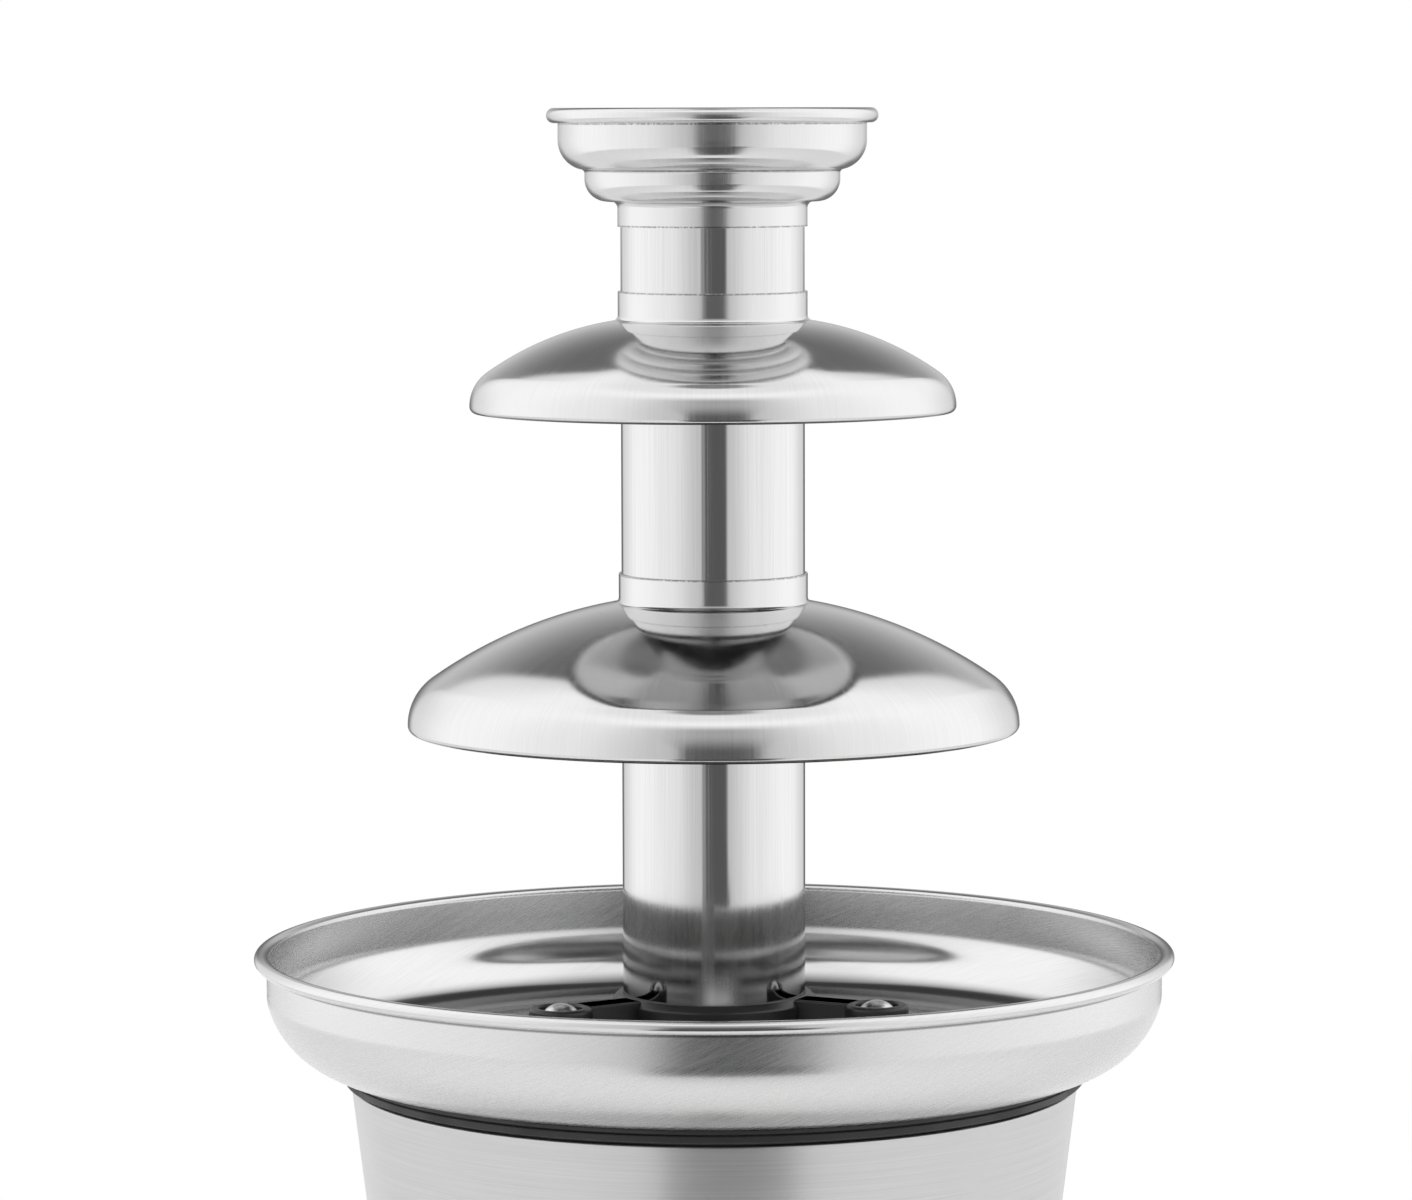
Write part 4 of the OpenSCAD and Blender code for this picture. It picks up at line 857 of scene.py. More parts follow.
@dataclass(frozen=True)
class BowlFinish(MetalFinish):
    """Satin bowl steel, smoother on its floor and bead, with painted shade in a ring round the floor and in a line
    under the bead.
    """

    floor_rough: float = 0.11
    ring_in: Span = (84.0, 92.0)
    ring_out: Span = (100.5, 104.0)
    # Painted shade: a dark ring round the floor, in the corner at the foot of the wall.
    painted_corner_shade: Colour = grey(0.16)
    bead_rough: float = 0.15
    # Painted shade in a line under the bead.
    painted_bead_shade: Colour = grey(0.25)

    def dress(self, graph: Graph, effects: Effects, look: Sockets) -> None:
        """Add the floor with its ring of painted shade, the plain bead and the painted shade line under it, each
        where the mesh's own value is 1.

        Args:
            graph: Graph of the material.
            effects: Shared node groups.
            look: Inputs of the shader.
        """
        super().dress(graph, effects, look)
        inside, bead = graph.kept("inside"), graph.kept("bead")
        rough = graph.slide(inside, graph.came_from(look["Roughness"]), self.floor_rough)
        rough = graph.slide(bead, rough, self.bead_rough)
        radius = graph.radius(graph.parts(graph.object_point()))
        # Painted shade in a ring round the floor.
        ring = graph.times(graph.rise(radius, self.ring_in), graph.fade(radius, self.ring_out), inside)
        colour = graph.blend(ring, graph.came_from(look["Base Color"]), self.painted_corner_shade)
        # Painted shade under the bead, where the mesh's line value is 1.
        colour = graph.blend(graph.kept("line"), colour, self.painted_bead_shade)
        graph.fill(look, {"Roughness": rough, "Base Color": colour})
        strokes = graph.came_from(look["Normal"]).node.inputs["Height"]
        graph.put(strokes, graph.times(graph.came_from(strokes), graph.math("SUBTRACT", 1.0, bead)))


@dataclass(frozen=True)
class MouldedFinish(Finish):
    """A moulded plastic or rubber with the grain of its mould."""

    light: Colour
    dark: Colour
    roughness: Span
    grain_mm: float = 0.4
    relief: float = 0.015
    strength: float = 0.35
    subsurface: float = 0.0
    transmission: float = 0.0
    coat: float = 0.0
    smudge_scale: float = 60.0

    def dress(self, graph: Graph, effects: Effects, look: Sockets) -> None:
        """Give the shader the plastic's colour, grain and gloss.

        Args:
            graph: Graph of the material.
            effects: Shared node groups.
            look: Inputs of the shader.
        """
        grain = graph.use(effects.grain, vector=graph.object_point(), scale=1 / (self.grain_mm * MM))
        graph.fill(look, {
            "Base Color": graph.blend(grain["Wave"], self.dark, self.light),
            "Roughness": self.smudged(graph, effects, self.smudge_scale, self.roughness),
            "Normal": graph.bump(grain["Grain"], self.strength, self.relief),
            "Transmission Weight": self.transmission, "Coat Weight": self.coat, "Coat Roughness": 0.08,
            "Subsurface Weight": self.subsurface, "Subsurface Radius": (0.6, 0.5, 0.4),
            "Subsurface Scale": 0.002})


@dataclass(frozen=True)
class LaminatedFinish(Finish):
    """Stacked and varnished core sheets, with a dark line between neighbours."""

    light: Colour = (0.30, 0.29, 0.28)
    dark: Colour = grey(0.05)
    roughness: Span = (0.35, 0.6)
    sheet_mm: float = 0.5
    line_share: Span = (0.34, 0.48)
    smudge_scale: float = 90.0

    def dress(self, graph: Graph, effects: Effects, look: Sockets) -> None:
        """Give the shader the sheets, as bands of height.

        Args:
            graph: Graph of the material.
            effects: Shared node groups.
            look: Inputs of the shader.
        """
        height = graph.parts(graph.object_point())[2]
        share = graph.math("FRACT", graph.math("DIVIDE", height, self.sheet_mm * MM))
        sheet = graph.span(graph.apart(share, 0.5), *self.line_share, 1, 0)
        graph.fill(look, {
            "Base Color": graph.blend(sheet, self.dark, self.light), "Metallic": 0.8,
            "Roughness": self.smudged(graph, effects, self.smudge_scale, self.roughness),
            "Normal": graph.bump(sheet, 0.5, 0.05)})


@dataclass(frozen=True)
class WoundFinish(Finish):
    """Enamelled copper wire wound round the bobbin in close turns."""

    light: Colour = (0.62, 0.24, 0.10)
    dark: Colour = (0.16, 0.04, 0.015)
    roughness: Span = (0.22, 0.4)
    wire_mm: float = 0.6
    smudge_scale: float = 120.0

    def dress(self, graph: Graph, effects: Effects, look: Sockets) -> None:
        """Give the shader the turns, as rounded ridges along X.

        Args:
            graph: Graph of the material.
            effects: Shared node groups.
            look: Inputs of the shader.
        """
        turns = graph.times(graph.parts(graph.object_point())[0], math.pi / (self.wire_mm * MM))
        ridge = graph.math("ABSOLUTE", graph.math("SINE", turns))
        graph.fill(look, {
            "Base Color": graph.blend(ridge, self.dark, self.light), "Metallic": 0.9,
            "Roughness": self.smudged(graph, effects, self.smudge_scale, self.roughness),
            "Normal": graph.bump(ridge, 0.8, 0.2), "Coat Weight": 0.5, "Coat Roughness": 0.1})


WHITE = grey(1.0)
STEEL = grey(0.66)
STEEL_DARK = grey(0.63)

FINISHES = (
    SpunFinish("spun_steel", STEEL, STEEL_DARK, Brush.MERIDIAN, (0.08, 0.115), along=25, relief=0.004,
               smudge_rough=0.025, anisotropic=0.85),
    TubeFinish("tube_steel", STEEL, grey(0.60), Brush.UPRIGHT, (0.05, 0.08), across=0.35, along=60,
               relief=0.001, strength=0.25, smudge_rough=0.02),
    BowlFinish("bowl_steel", STEEL, grey(0.62), Brush.SLANTED, (0.24, 0.3), across=0.25, along=12,
               relief=0.0015, smudge_rough=0.015),
    MetalFinish("housing_steel", grey(0.60), grey(0.52), Brush.LEVEL, (0.3, 0.36), across=0.3, along=60,
                relief=0.002, anisotropic=0.8, stretch_turn=0.25),
    MetalFinish("post_steel", STEEL, STEEL_DARK, Brush.CAST, (0.26, 0.34), across=0.6, relief=0.004),
    MetalFinish("bright_steel", grey(0.80), grey(0.70), Brush.LEVEL, (0.14, 0.24), across=0.3, along=20,
                relief=0.005),
    MetalFinish("plated_steel", (0.66, 0.66, 0.64), (0.54, 0.54, 0.52), Brush.CAST, (0.28, 0.42), across=1.2),
    MetalFinish("cast_alloy", grey(0.60), grey(0.48), Brush.CAST, (0.38, 0.55), across=0.8, relief=0.06,
                strength=0.5),
    MetalFinish("bronze", (0.44, 0.36, 0.26), (0.34, 0.27, 0.19), Brush.LEVEL, (0.25, 0.4), across=0.4,
                along=20, relief=0.01),
    LaminatedFinish("laminations"),
    WoundFinish("copper_wire"),
    MouldedFinish("black_plastic", grey(0.018), grey(0.010), (0.28, 0.42)),
    MouldedFinish("black_rubber", grey(0.012), grey(0.007), (0.45, 0.6), grain_mm=0.25),
    MouldedFinish("white_plastic", (0.82, 0.81, 0.78), (0.76, 0.75, 0.72), (0.3, 0.45), subsurface=0.15),
    MouldedFinish("red_lens", (0.36, 0.016, 0.012), (0.24, 0.01, 0.008), (0.06, 0.14), grain_mm=0.9,
                  strength=0.1, transmission=0.45, coat=0.6),
)


class Workshop:
    """Makes pieces from surfaces and hands out the finishes."""

    def __init__(self) -> None:
        """Build every finish."""
        effects = Effects()
        self.finish = {finish.slot: finish.material(effects) for finish in FINISHES}
        self.pieces: list[bpy.types.Object] = []

    def piece(self, name: str, surface: Surface, body: str, slot: str, *replaced: str) -> bpy.types.Object:
        """Make an object of a surface and set it on its body.

        Args:
            name: Name of the piece.
            surface: Its surface.
            body: Body that it moves with.
            slot: Material slot whose finish it takes.
            *replaced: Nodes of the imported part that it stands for.

        Returns:
            The new object.
        """
        mesh = surface.mesh(name)
        mesh.shade_smooth()
        mesh.set_sharp_from_angle(angle=CREASE)
        obj = set_out(name, mesh)
        mesh.materials.append(self.finish[slot])
        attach(obj, body)
        if replaced:
            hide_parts(*replaced)
        self.pieces.append(obj)
        log.info("%s: %d faces, rides on %s", name, len(mesh.polygons), body)
        return obj

    @staticmethod
    def mark(obj: bpy.types.Object, name: str, values: Array, columns: int) -> None:
        """Keep a value for each outline point of a turned piece, the same all round it.

        Args:
            obj: The piece.
            name: Name of the mesh attribute.
            values: One value for each outline point.
            columns: Number of steps round the axis.
        """
        store = obj.data.attributes.new(name, "FLOAT", "POINT")
        store.data.foreach_set("value", np.repeat(values, columns).astype(np.float32))

    def cut(self, obj: bpy.types.Object, tool: Surface) -> None:
        """Cut a closed surface out of a piece.

        Args:
            obj: The piece.
            tool: What is taken away.
        """
        cutter = set_out("cutter", tool.mesh("cutter"))
        modifier = obj.modifiers.new("cut", "BOOLEAN")
        modifier.operation, modifier.solver, modifier.object = "DIFFERENCE", "EXACT", cutter
        bpy.context.view_layer.update()
        done = bpy.data.meshes.new_from_object(obj.evaluated_get(bpy.context.evaluated_depsgraph_get()))
        obj.modifiers.clear()
        done.name, obj.data = obj.data.name, done
        done.set_sharp_from_angle(angle=CREASE)
        bpy.data.objects.remove(cutter)

    def dress_nodes(self) -> None:
        """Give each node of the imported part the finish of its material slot."""
        slots = {part["node"]: part["material_slot"] for part in frame["record"]["subparts"]}
        for name, obj in frame["nodes"].items():
            for place in obj.material_slots:
                place.material = self.finish[slots[name]]


@dataclass
class Crown:
    """Spun cup at the top of the tower: a neck, a step, a cup and a rolled rim."""

    sheet: float = 0.6
    neck_r: float = 23.2
    neck_h: float = 4.5
    neck_fillet: float = 1.6
    step_r: float = 31.2
    step_corner: float = 5.5
    step_h: float = 1.4
    crease: float = 0.9
    cup_r: float = 37.7
    cup_corner: float = 7.3
    cup_h: float = 6.0
    rim_r: float = 1.85
    rim_out: float = 0.95
    tab_w: float = 4.0
    tab_h: float = 2.2
    tab_inner_r: float = 21.7
    tab_lift: float = 6.5
    tab_angles: tuple[float, ...] = (210.0, 270.0, 330.0)

    def outline(self, foot_z: float) -> Array:
        """Closed outline: up the outside, over the rolled rim and down the inside.

        Args:
            foot_z: Height of the neck's lower edge.

        Returns:
            Points of the outline.
        """
        step = jog(self.neck_r, self.step_r, foot_z + self.neck_h, self.neck_fillet, self.step_corner)
        cup = jog(self.step_r, self.cup_r, step[-1, 1] + self.step_h, self.crease, self.cup_corner)
        wall = joined([[self.neck_r, foot_z]], step, cup)
        rim = (self.cup_r + self.rim_out, cup[-1, 1] + self.cup_h)
        roll = rolled_rim(self.cup_r - self.sheet, self.cup_r, rim, self.rim_r)
        return joined(wall, roll[::-1], set_over(wall, -self.sheet)[::-1])

    def build(self, shop: Workshop) -> None:
        """Make the cup with the three tabs that rest on the tube."""
        foot_z = node_box("crown")[0][2]
        half, low = self.tab_w / 2, foot_z + self.tab_lift
        high = low + self.tab_h
        loop = rounded([(-half, low, 0.3), (half, low, 0.3), (half, high, 0.5), (-half, high, 0.5)])
        tab = bar(loop, np.linspace(self.tab_inner_r, self.neck_r + self.neck_fillet, 6))
        surface = lathe(self.outline(foot_z)) + tab.ringed(self.tab_angles)
        shop.piece("crown_cup", surface, "crown", "spun_steel", "crown")


@dataclass
class Tier:
    """Spun dome on a sleeve that slips over the tube."""

    node: str
    rim_r: float
    shoulder_r: float
    neck_slope: float
    shoulder_slope: float
    collar_h: float
    slot_angles: tuple[float, ...] = ()
    sheet: float = 0.7
    sleeve_r: float = 22.6
    sleeve_t: float = 0.6
    sleeve_len: float = 16.0
    neck_fillet: float = 1.5
    hem_r: float = 1.6
    hem_turn: float = 62.0
    slot_w: float = 3.8
    slot_r: float = 23.8
    # Where the hem's painted shade starts and ends along the outline.
    line_from: Span = (-0.55, -0.25)
    line_to: Span = (2.0, 10.0)

    def outline(self, top: float) -> Array:
        """Closed outline: down the collar and dome, round the hem, back underneath and round the sleeve.

        Args:
            top: Height of the collar's upper edge.

        Returns:
            Points of the outline.
        """
        slope0, slope1 = math.radians(self.neck_slope), math.radians(self.shoulder_slope)
        sleeve_ro = self.sleeve_r + self.sleeve_t
        start = sleeve_ro + self.neck_fillet * (1 - math.sin(slope0))
        end = self.rim_r - self.shoulder_r * (1 - math.sin(slope1))
        dome_r = (end - start) / (math.sin(slope1) - math.sin(slope0))
        neck_z = top - self.collar_h
        centre = np.array([start - dome_r * math.sin(slope0), neck_z - dome_r * math.cos(slope0)])
        shoulder = centre + (dome_r - self.shoulder_r) * np.array([math.sin(slope1), math.cos(slope1)])
        skin = joined(arc(centre, dome_r, 90 - self.neck_slope, 90 - self.shoulder_slope, 2 * ARC_POINTS),
                      arc(shoulder, self.shoulder_r, 90 - self.shoulder_slope, 0, 2 * ARC_POINTS),
                      arc(shoulder + [self.shoulder_r - self.hem_r, 0], self.hem_r, 0, -self.hem_turn))
        under = set_over(skin, self.sheet)[::-1]
        fillet = (sleeve_ro + self.neck_fillet, neck_z + self.neck_fillet * math.cos(slope0))
        foot = top - self.sleeve_len
        edge = rounded([(self.sleeve_r, top, 0.2), (sleeve_ro, top, 0.2), (sleeve_ro, fillet[1], 0)])[:-1]
        return joined(edge, arc(fillet, self.neck_fillet, 180, 270 - self.neck_slope), skin, under,
                      [[sleeve_ro, under[-1, 1]], [sleeve_ro, foot], [self.sleeve_r, foot]])

    def build(self, shop: Workshop) -> None:
        """Make the dome, with slots in the sleeve where it has to pass the tube's pips."""
        top = node_box(self.node)[1][2]
        name = self.node.replace("_tier", "_dome")
        outline = self.outline(top)
        obj = shop.piece(name, lathe(outline), self.node, "spun_steel", self.node)
        # Outline points counted from the lowest one, which lies on the hem
        past = np.arange(len(outline)) - np.argmin(outline[:, 1])
        # The edge value marks the painted shade along the turned-under hem.
        edge = smooth(past / ARC_POINTS, *self.line_from) * (1 - smooth(past, *self.line_to))
        shop.mark(obj, "edge", edge, COLUMNS)
        loop = np.array([(-1, -1), (1, -1), (1, 1), (-1, 1)]) * [self.slot_w / 2, self.sleeve_len + 1]
        slot = bar(loop, (self.sleeve_r - 2, self.slot_r))
        for angle in self.slot_angles:
            shop.cut(obj, slot.placed(Place.round_axis(angle, 0, top)))


@dataclass
class Tube:
    """Rolled tube with a ground weld seam along its front and the pips that carry the tiers."""

    wall: float = 0.8
    seam_angle: float = -93.7
    seam_half_w: float = 1.6
    seam_groove: float = 0.008
    groove_w: float = 0.22
    seam_flat: float = 0.01
    seam_columns: int = 60
    pip_r: float = 1.5
    pip_proud: float = 0.9
    upper_pips: tuple[float, ...] = (30.0, 90.0, 150.0)
    lower_pips: tuple[float, ...] = (210.0, 270.0, 330.0)
    pip_drop: float = 1.63

    def seam_relief(self, turn: Array, radius: float) -> Array:
        """Height of the surface near the seam: a flattened strip with a fine groove at its middle.

        Args:
            turn: Angles round the tube in radians.
            radius: Outside radius of the tube.

        Returns:
            One height for each angle.
        """
        off = radius * ((turn - math.radians(self.seam_angle) + math.pi) % (2 * math.pi) - math.pi)
        strip = 1 - smooth(np.abs(off), 0.5 * self.seam_half_w, self.seam_half_w)
        return -self.seam_flat * strip - self.seam_groove * np.exp(-((off / self.groove_w) ** 2))

    def build(self, shop: Workshop) -> None:
        """Make the tube with fine columns beside the seam."""
        low, high = node_box("tower_tube")
        radius = high[0]
        even = np.linspace(0, 2 * math.pi, COLUMNS, endpoint=False)
        reach = 2 * self.seam_half_w / radius
        near = np.linspace(-reach, reach, self.seam_columns)
        fine = (math.radians(self.seam_angle) + near) % (2 * math.pi)
        turn = np.unique(np.concatenate([even, fine]))
        outline = rounded([(radius - self.wall, low[2], 0.2), (radius, low[2], 0.2), (radius, high[2], 0.2),
                           (radius - self.wall, high[2], 0.2)])
        relief = np.outer(outline[:, 0] > radius - self.wall / 2, self.seam_relief(turn, radius))
        surface = lathe(outline, angles=turn, relief=relief)
        ball = lathe(arc((0, 0), self.pip_r, -90, 90), SMALL_COLUMNS)
        for node, angles in (("upper_tier", self.upper_pips), ("lower_tier", self.lower_pips)):
            seat = node_box(node)[1][2] - Tier.sleeve_len
            at = radius + self.pip_proud - self.pip_r
            surface = surface + ball.ringed(angles, at, seat - self.pip_drop)
        shop.piece("tube", surface, "tower", "tube_steel", "tower_tube")


@dataclass
class Hub:
    """Moulded spider that holds the tube's foot: a ring with a bevelled top, and three arms with eyes."""

    ring_t: float = 2.7
    ledge: float = 2.0
    socket: float = 5.0
    fit: float = 0.02
    bevel_h: float = 1.6
    top_t: float = 1.2
    arm_w: float = 7.4
    arm_h: float = 7.0
    arm_rib: float = 1.3
    arm_in: float = 1.0
    crest_in: float = 0.6
    pocket: float = 3.5
    end_slope: float = 0.35
    side_slope: float = 0.3
    eye_r: float = 7.75
    bore_r: float = 5.35
    post_ring_r: float = 44.4
    angles: tuple[float, ...] = (-27.0, 93.0, 213.0)

    def ring(self, tube_r: float, top: float) -> Surface:
        """The ring round the tube, turned.

        Args:
            tube_r: Outside radius of the tube.
            top: Height of the ring's upper face.

        Returns:
            The ring's surface.
        """
        outer, inner, bore = tube_r + self.ring_t, tube_r + self.fit, tube_r - Tube.wall
        seat = top - self.socket
        foot = seat - self.ledge
        return lathe(rounded([
            (bore, foot, 0.3), (outer, foot, 0.5), (outer, top - self.bevel_h, 0.4),
            (tube_r + self.top_t, top, 0.35), (inner, top, 0.12), (inner, seat, 0.05),
            (bore, seat, 0.05)]), RING_COLUMNS)

    def arm(self, tube_r: float, top: float) -> Surface:
        """An arm along X as loops of a rounded section, whose top dips into a pocket by smooth steps.

        Args:
            tube_r: Outside radius of the tube.
            top: Height of the arm's upper face.

        Returns:
            The arm's surface.
        """
        start, end = tube_r + self.ring_t / 2, self.post_ring_r - self.bore_r - self.arm_in
        near, far = tube_r + self.ring_t + self.arm_rib, self.post_ring_r - self.eye_r
        half = self.arm_w / 2
        rib, crest = half - self.arm_rib, half - self.crest_in
        along, beside = 2 * self.end_slope, 2 * self.side_slope
        ends = [np.linspace(p - along, p + along, 12) for p in (near, far)]
        sides = [np.linspace(p - beside, p + beside, 9) for p in (-rib, rib)]
        x = np.unique(np.concatenate([np.linspace(start, end, 20), *ends]))
        across = np.unique(np.concatenate([np.linspace(-crest, crest, 24), *sides]))
        section = rounded([(half, top - self.arm_h, 0.5), (half, top, 0.45), (-half, top, 0.45),
                           (-half, top - self.arm_h, 0.5)])
        on_top = section[:, 1] > top - 0.02
        first = int(np.argmax(on_top))
        keep = ~(on_top & (np.abs(section[:, 0]) < half - 0.5))
        fine = np.column_stack([across[::-1], np.full(len(across), top)])
        loop = np.insert(section[keep], first + 1, fine, axis=0)
        y, z = loop[:, 0][None], loop[:, 1][None]
        dip = smooth(x, near - self.end_slope, near + self.end_slope)
        dip = (dip * (1 - smooth(x, far - self.end_slope, far + self.end_slope)))[:, None]
        dip = dip * (1 - smooth(np.abs(y), rib - self.side_slope, rib + self.side_slope))
        depth = np.where(z > top - 0.3, self.pocket * dip, 0)
        return sweep(np.stack([x[:, None] + 0 * y, y + 0 * dip, z - depth], -1))

    def eye(self, foot: float, top: float) -> Surface:
        """An eye that a post stands in, turned about its own axis."""
        return lathe(rounded([(self.bore_r, foot, 0.3), (self.eye_r, foot, 0.5), (self.eye_r, top, 1.2),
                              (self.bore_r, top, 0.7)]), EYE_COLUMNS)

    def build(self, shop: Workshop) -> None:
        """Make the spider as one piece."""
        low, high = node_box("tower_hub")
        tube_r = node_box("tower_tube")[1][0]
        surface = self.ring(tube_r, high[2]) + self.arm(tube_r, high[2]).ringed(self.angles)
        surface = surface + self.eye(low[2], high[2]).ringed(self.angles, self.post_ring_r)
        shop.piece("hub_spider", surface, "tower", "black_plastic", "tower_hub")


@dataclass
class Auger:
    """Screw flight that winds up the auger's shaft."""

    core_r: float = 9.02
    radius: float = 21.2
    pitch: float = 32.0
    thick: float = 2.4
    steps_a_turn: int = 72

    def build(self, shop: Workshop) -> None:
        """Make the flight: a flat section with a rounded edge, carried up a helix."""
        low, high = node_box("auger_screw")
        half = self.thick / 2
        loop = rounded([(self.core_r, -half, 0.3), (self.radius, -half, 0.9), (self.radius, half, 0.9),
                        (self.core_r, half, 0.3)])
        rise = high[2] - low[2] - self.thick
        turn = np.linspace(0, 2 * math.pi * rise / self.pitch, int(self.steps_a_turn * rise / self.pitch))
        turn = turn[:, None]
        radius, lift = loop[:, 0][None], loop[:, 1][None]
        height = low[2] + half + lift + self.pitch * turn / (2 * math.pi)
        flight = sweep(np.stack([radius * np.cos(turn), radius * np.sin(turn), height], -1))
        shop.piece("auger_flight", flight, "auger", "white_plastic", "auger_screw")


@dataclass
class Bowl:
    """Drawn bowl with a rolled rim, on its gasket, with the posts that carry the tower."""

    sheet: float = 0.8
    wall_r: float = 110.2
    shoulder_r: float = 10.0
    shoulder_turn: float = 17.0
    corner_r: float = 22.0
    rim_flat: float = 0.83
    rim_drop: float = 2.1
    bead_in: Span = (0.1, 0.5)
    bead_low: Span = (-1.7, -1.6)
    # Where the painted shade line under the bead lies, and the outline points that hold it.
    line_h: Span = (0.9, 1.25)
    line_z: float = -1.7
    line_half: float = 0.7
    floor_h: Span = (13.0, 19.0)
    sag: float = 0.5
    gasket_in: float = 1.2
    columns: int = WIDE_COLUMNS
    bush_hole_r: float = 7.92
    gasket_w: float = 14.0
    gasket_groove: float = 0.5
    gasket_groove_w: float = 0.6
    gasket_lip_h: float = 1.2
    gasket_undercut: float = 1.3
    gasket_undercut_h: float = 0.8
    gasket_bevel_h: float = 0.4
    deck_r: float = 89.6
    post_r: float = 4.35
    post_dome_h: float = 2.2
    post_foot_r: float = 7.0
    post_foot_h: float = 2.0
    stud_r: float = 2.5
    post_ring_r: float = Hub.post_ring_r
    post_angles: tuple[float, ...] = Hub.angles

    def outline(self, foot: float, rim_z: float, rim_r: float) -> Array:
        """Closed outline: over the rim, down the outside, in along the floor and back up the inside.

        Args:
            foot: Height of the bowl's underside.
            rim_z: Height of the rim's middle.
            rim_r: Largest radius of the rim.

        Returns:
            Points of the outline.
        """
        turn = math.radians(self.shoulder_turn)
        knee_r = self.wall_r - self.shoulder_r * (1 - math.cos(turn))
        low = foot - self.sag
        knee_z = low + self.corner_r * (1 - math.sin(turn))
        shoulder = (self.wall_r - self.shoulder_r, knee_z + self.shoulder_r * math.sin(turn))
        corner = (knee_r - self.corner_r * math.cos(turn), low + self.corner_r)
        wall = joined(arc(shoulder, self.shoulder_r, 0, -self.shoulder_turn),
                      arc(corner, self.corner_r, -self.shoulder_turn, -90, 3 * ARC_POINTS))
        roll = (rim_r - self.wall_r + self.sheet) / 2
        rim = rolled_rim(self.wall_r - self.sheet, self.wall_r, (rim_r - roll, rim_z), roll)
        rim[:, 1] = rim_z + self.rim_flat * (rim[:, 1] - rim_z)
        floor = [[corner[0] - 2, low], [corner[0] - 2.5, foot], [self.bush_hole_r, foot],
                 [self.bush_hole_r, foot + self.sheet]]
        line = [[self.wall_r, rim[-1, 1] - drop] for drop in self.line_h]
        return joined(rim, line, wall, floor, set_over(wall, self.sheet)[::-1])

    def gasket(self, low: float, high: float, outer: float) -> Array:
        """Closed outline of the gasket: a lip, a fine groove, the main band and an undercut at its foot.

        Args:
            low: Height of the gasket's foot.
            high: Height of its top.
            outer: Outside radius.

        Returns:
            Points of the outline.
        """
        groove = high - self.gasket_lip_h
        half = self.gasket_groove_w / 2
        edge = low + self.gasket_undercut_h
        inner = outer - self.gasket_w
        return rounded([(inner, low, 0.2), (self.deck_r - self.gasket_in, low, 0.05),
                        (outer - self.gasket_undercut, edge, 0.1),
                        (outer, edge + self.gasket_bevel_h, 0.25), (outer, groove - half, 0.25),
                        (outer - self.gasket_groove, groove, 0.05), (outer, groove + half, 0.25),
                        (outer, high, 0.15), (inner, high, 0.2)])

    def build(self, shop: Workshop) -> None:
        """Make the bowl, the gasket and the posts."""
        low, high = node_box("basin")
        rim_z = high[2] - self.rim_drop
        outline = self.outline(low[2], rim_z, high[0])
        bowl = shop.piece("bowl", lathe(outline, self.columns), "base", "bowl_steel", "basin")
        r, z = outline[:, 0], outline[:, 1]
        inner = np.arange(len(outline)) > np.argmin(r)
        marks = {
            "inside": inner * (1 - smooth(z - low[2], *self.floor_h)),
            "bead": smooth(r - self.wall_r + self.sheet, *self.bead_in) * smooth(z - rim_z, *self.bead_low),
            # line: painted shade on the wall under the bead.
            "line": (np.abs(r - self.wall_r) < 0.01) & (np.abs(z - rim_z - self.line_z) < self.line_half)}
        for name, values in marks.items():
            shop.mark(bowl, name, values, self.columns)
        low, high = node_box("basin_gasket")
        ring = lathe(self.gasket(low[2], high[2] - self.sag, high[0] - self.gasket_in), self.columns)
        shop.piece("gasket_ring", ring, "base", "black_rubber", "basin_gasket")
        self.build_posts(shop)

    def build_posts(self, shop: Workshop) -> None:
        """Make the domed posts, each turned from a bar and standing on its own foot."""
        floor = node_box("basin")[0][2] + self.sheet
        low, high = node_box("tower_posts")
        dome_r = (self.post_r**2 + self.post_dome_h**2) / (2 * self.post_dome_h)
        span = math.degrees(math.asin(self.post_r / dome_r))
        foot = floor + self.post_foot_h
        shank = rounded([(0, low[2], 0), (self.stud_r, low[2], 0.3), (self.stud_r, floor, 0),
                         (self.post_foot_r, floor, 0.2), (self.post_foot_r, foot, 0.5),
                         (self.post_r, foot, 0.4), (self.post_r, high[2] - self.post_dome_h, 0)])
        dome = arc((0, high[2] - dome_r), dome_r, 90 - span, 90)
        dome[-1, 0] = 0
        posts = lathe(joined(shank, dome), SMALL_COLUMNS).ringed(self.post_angles, self.post_ring_r)
        shop.piece("posts", posts, "base", "post_steel", "tower_posts")


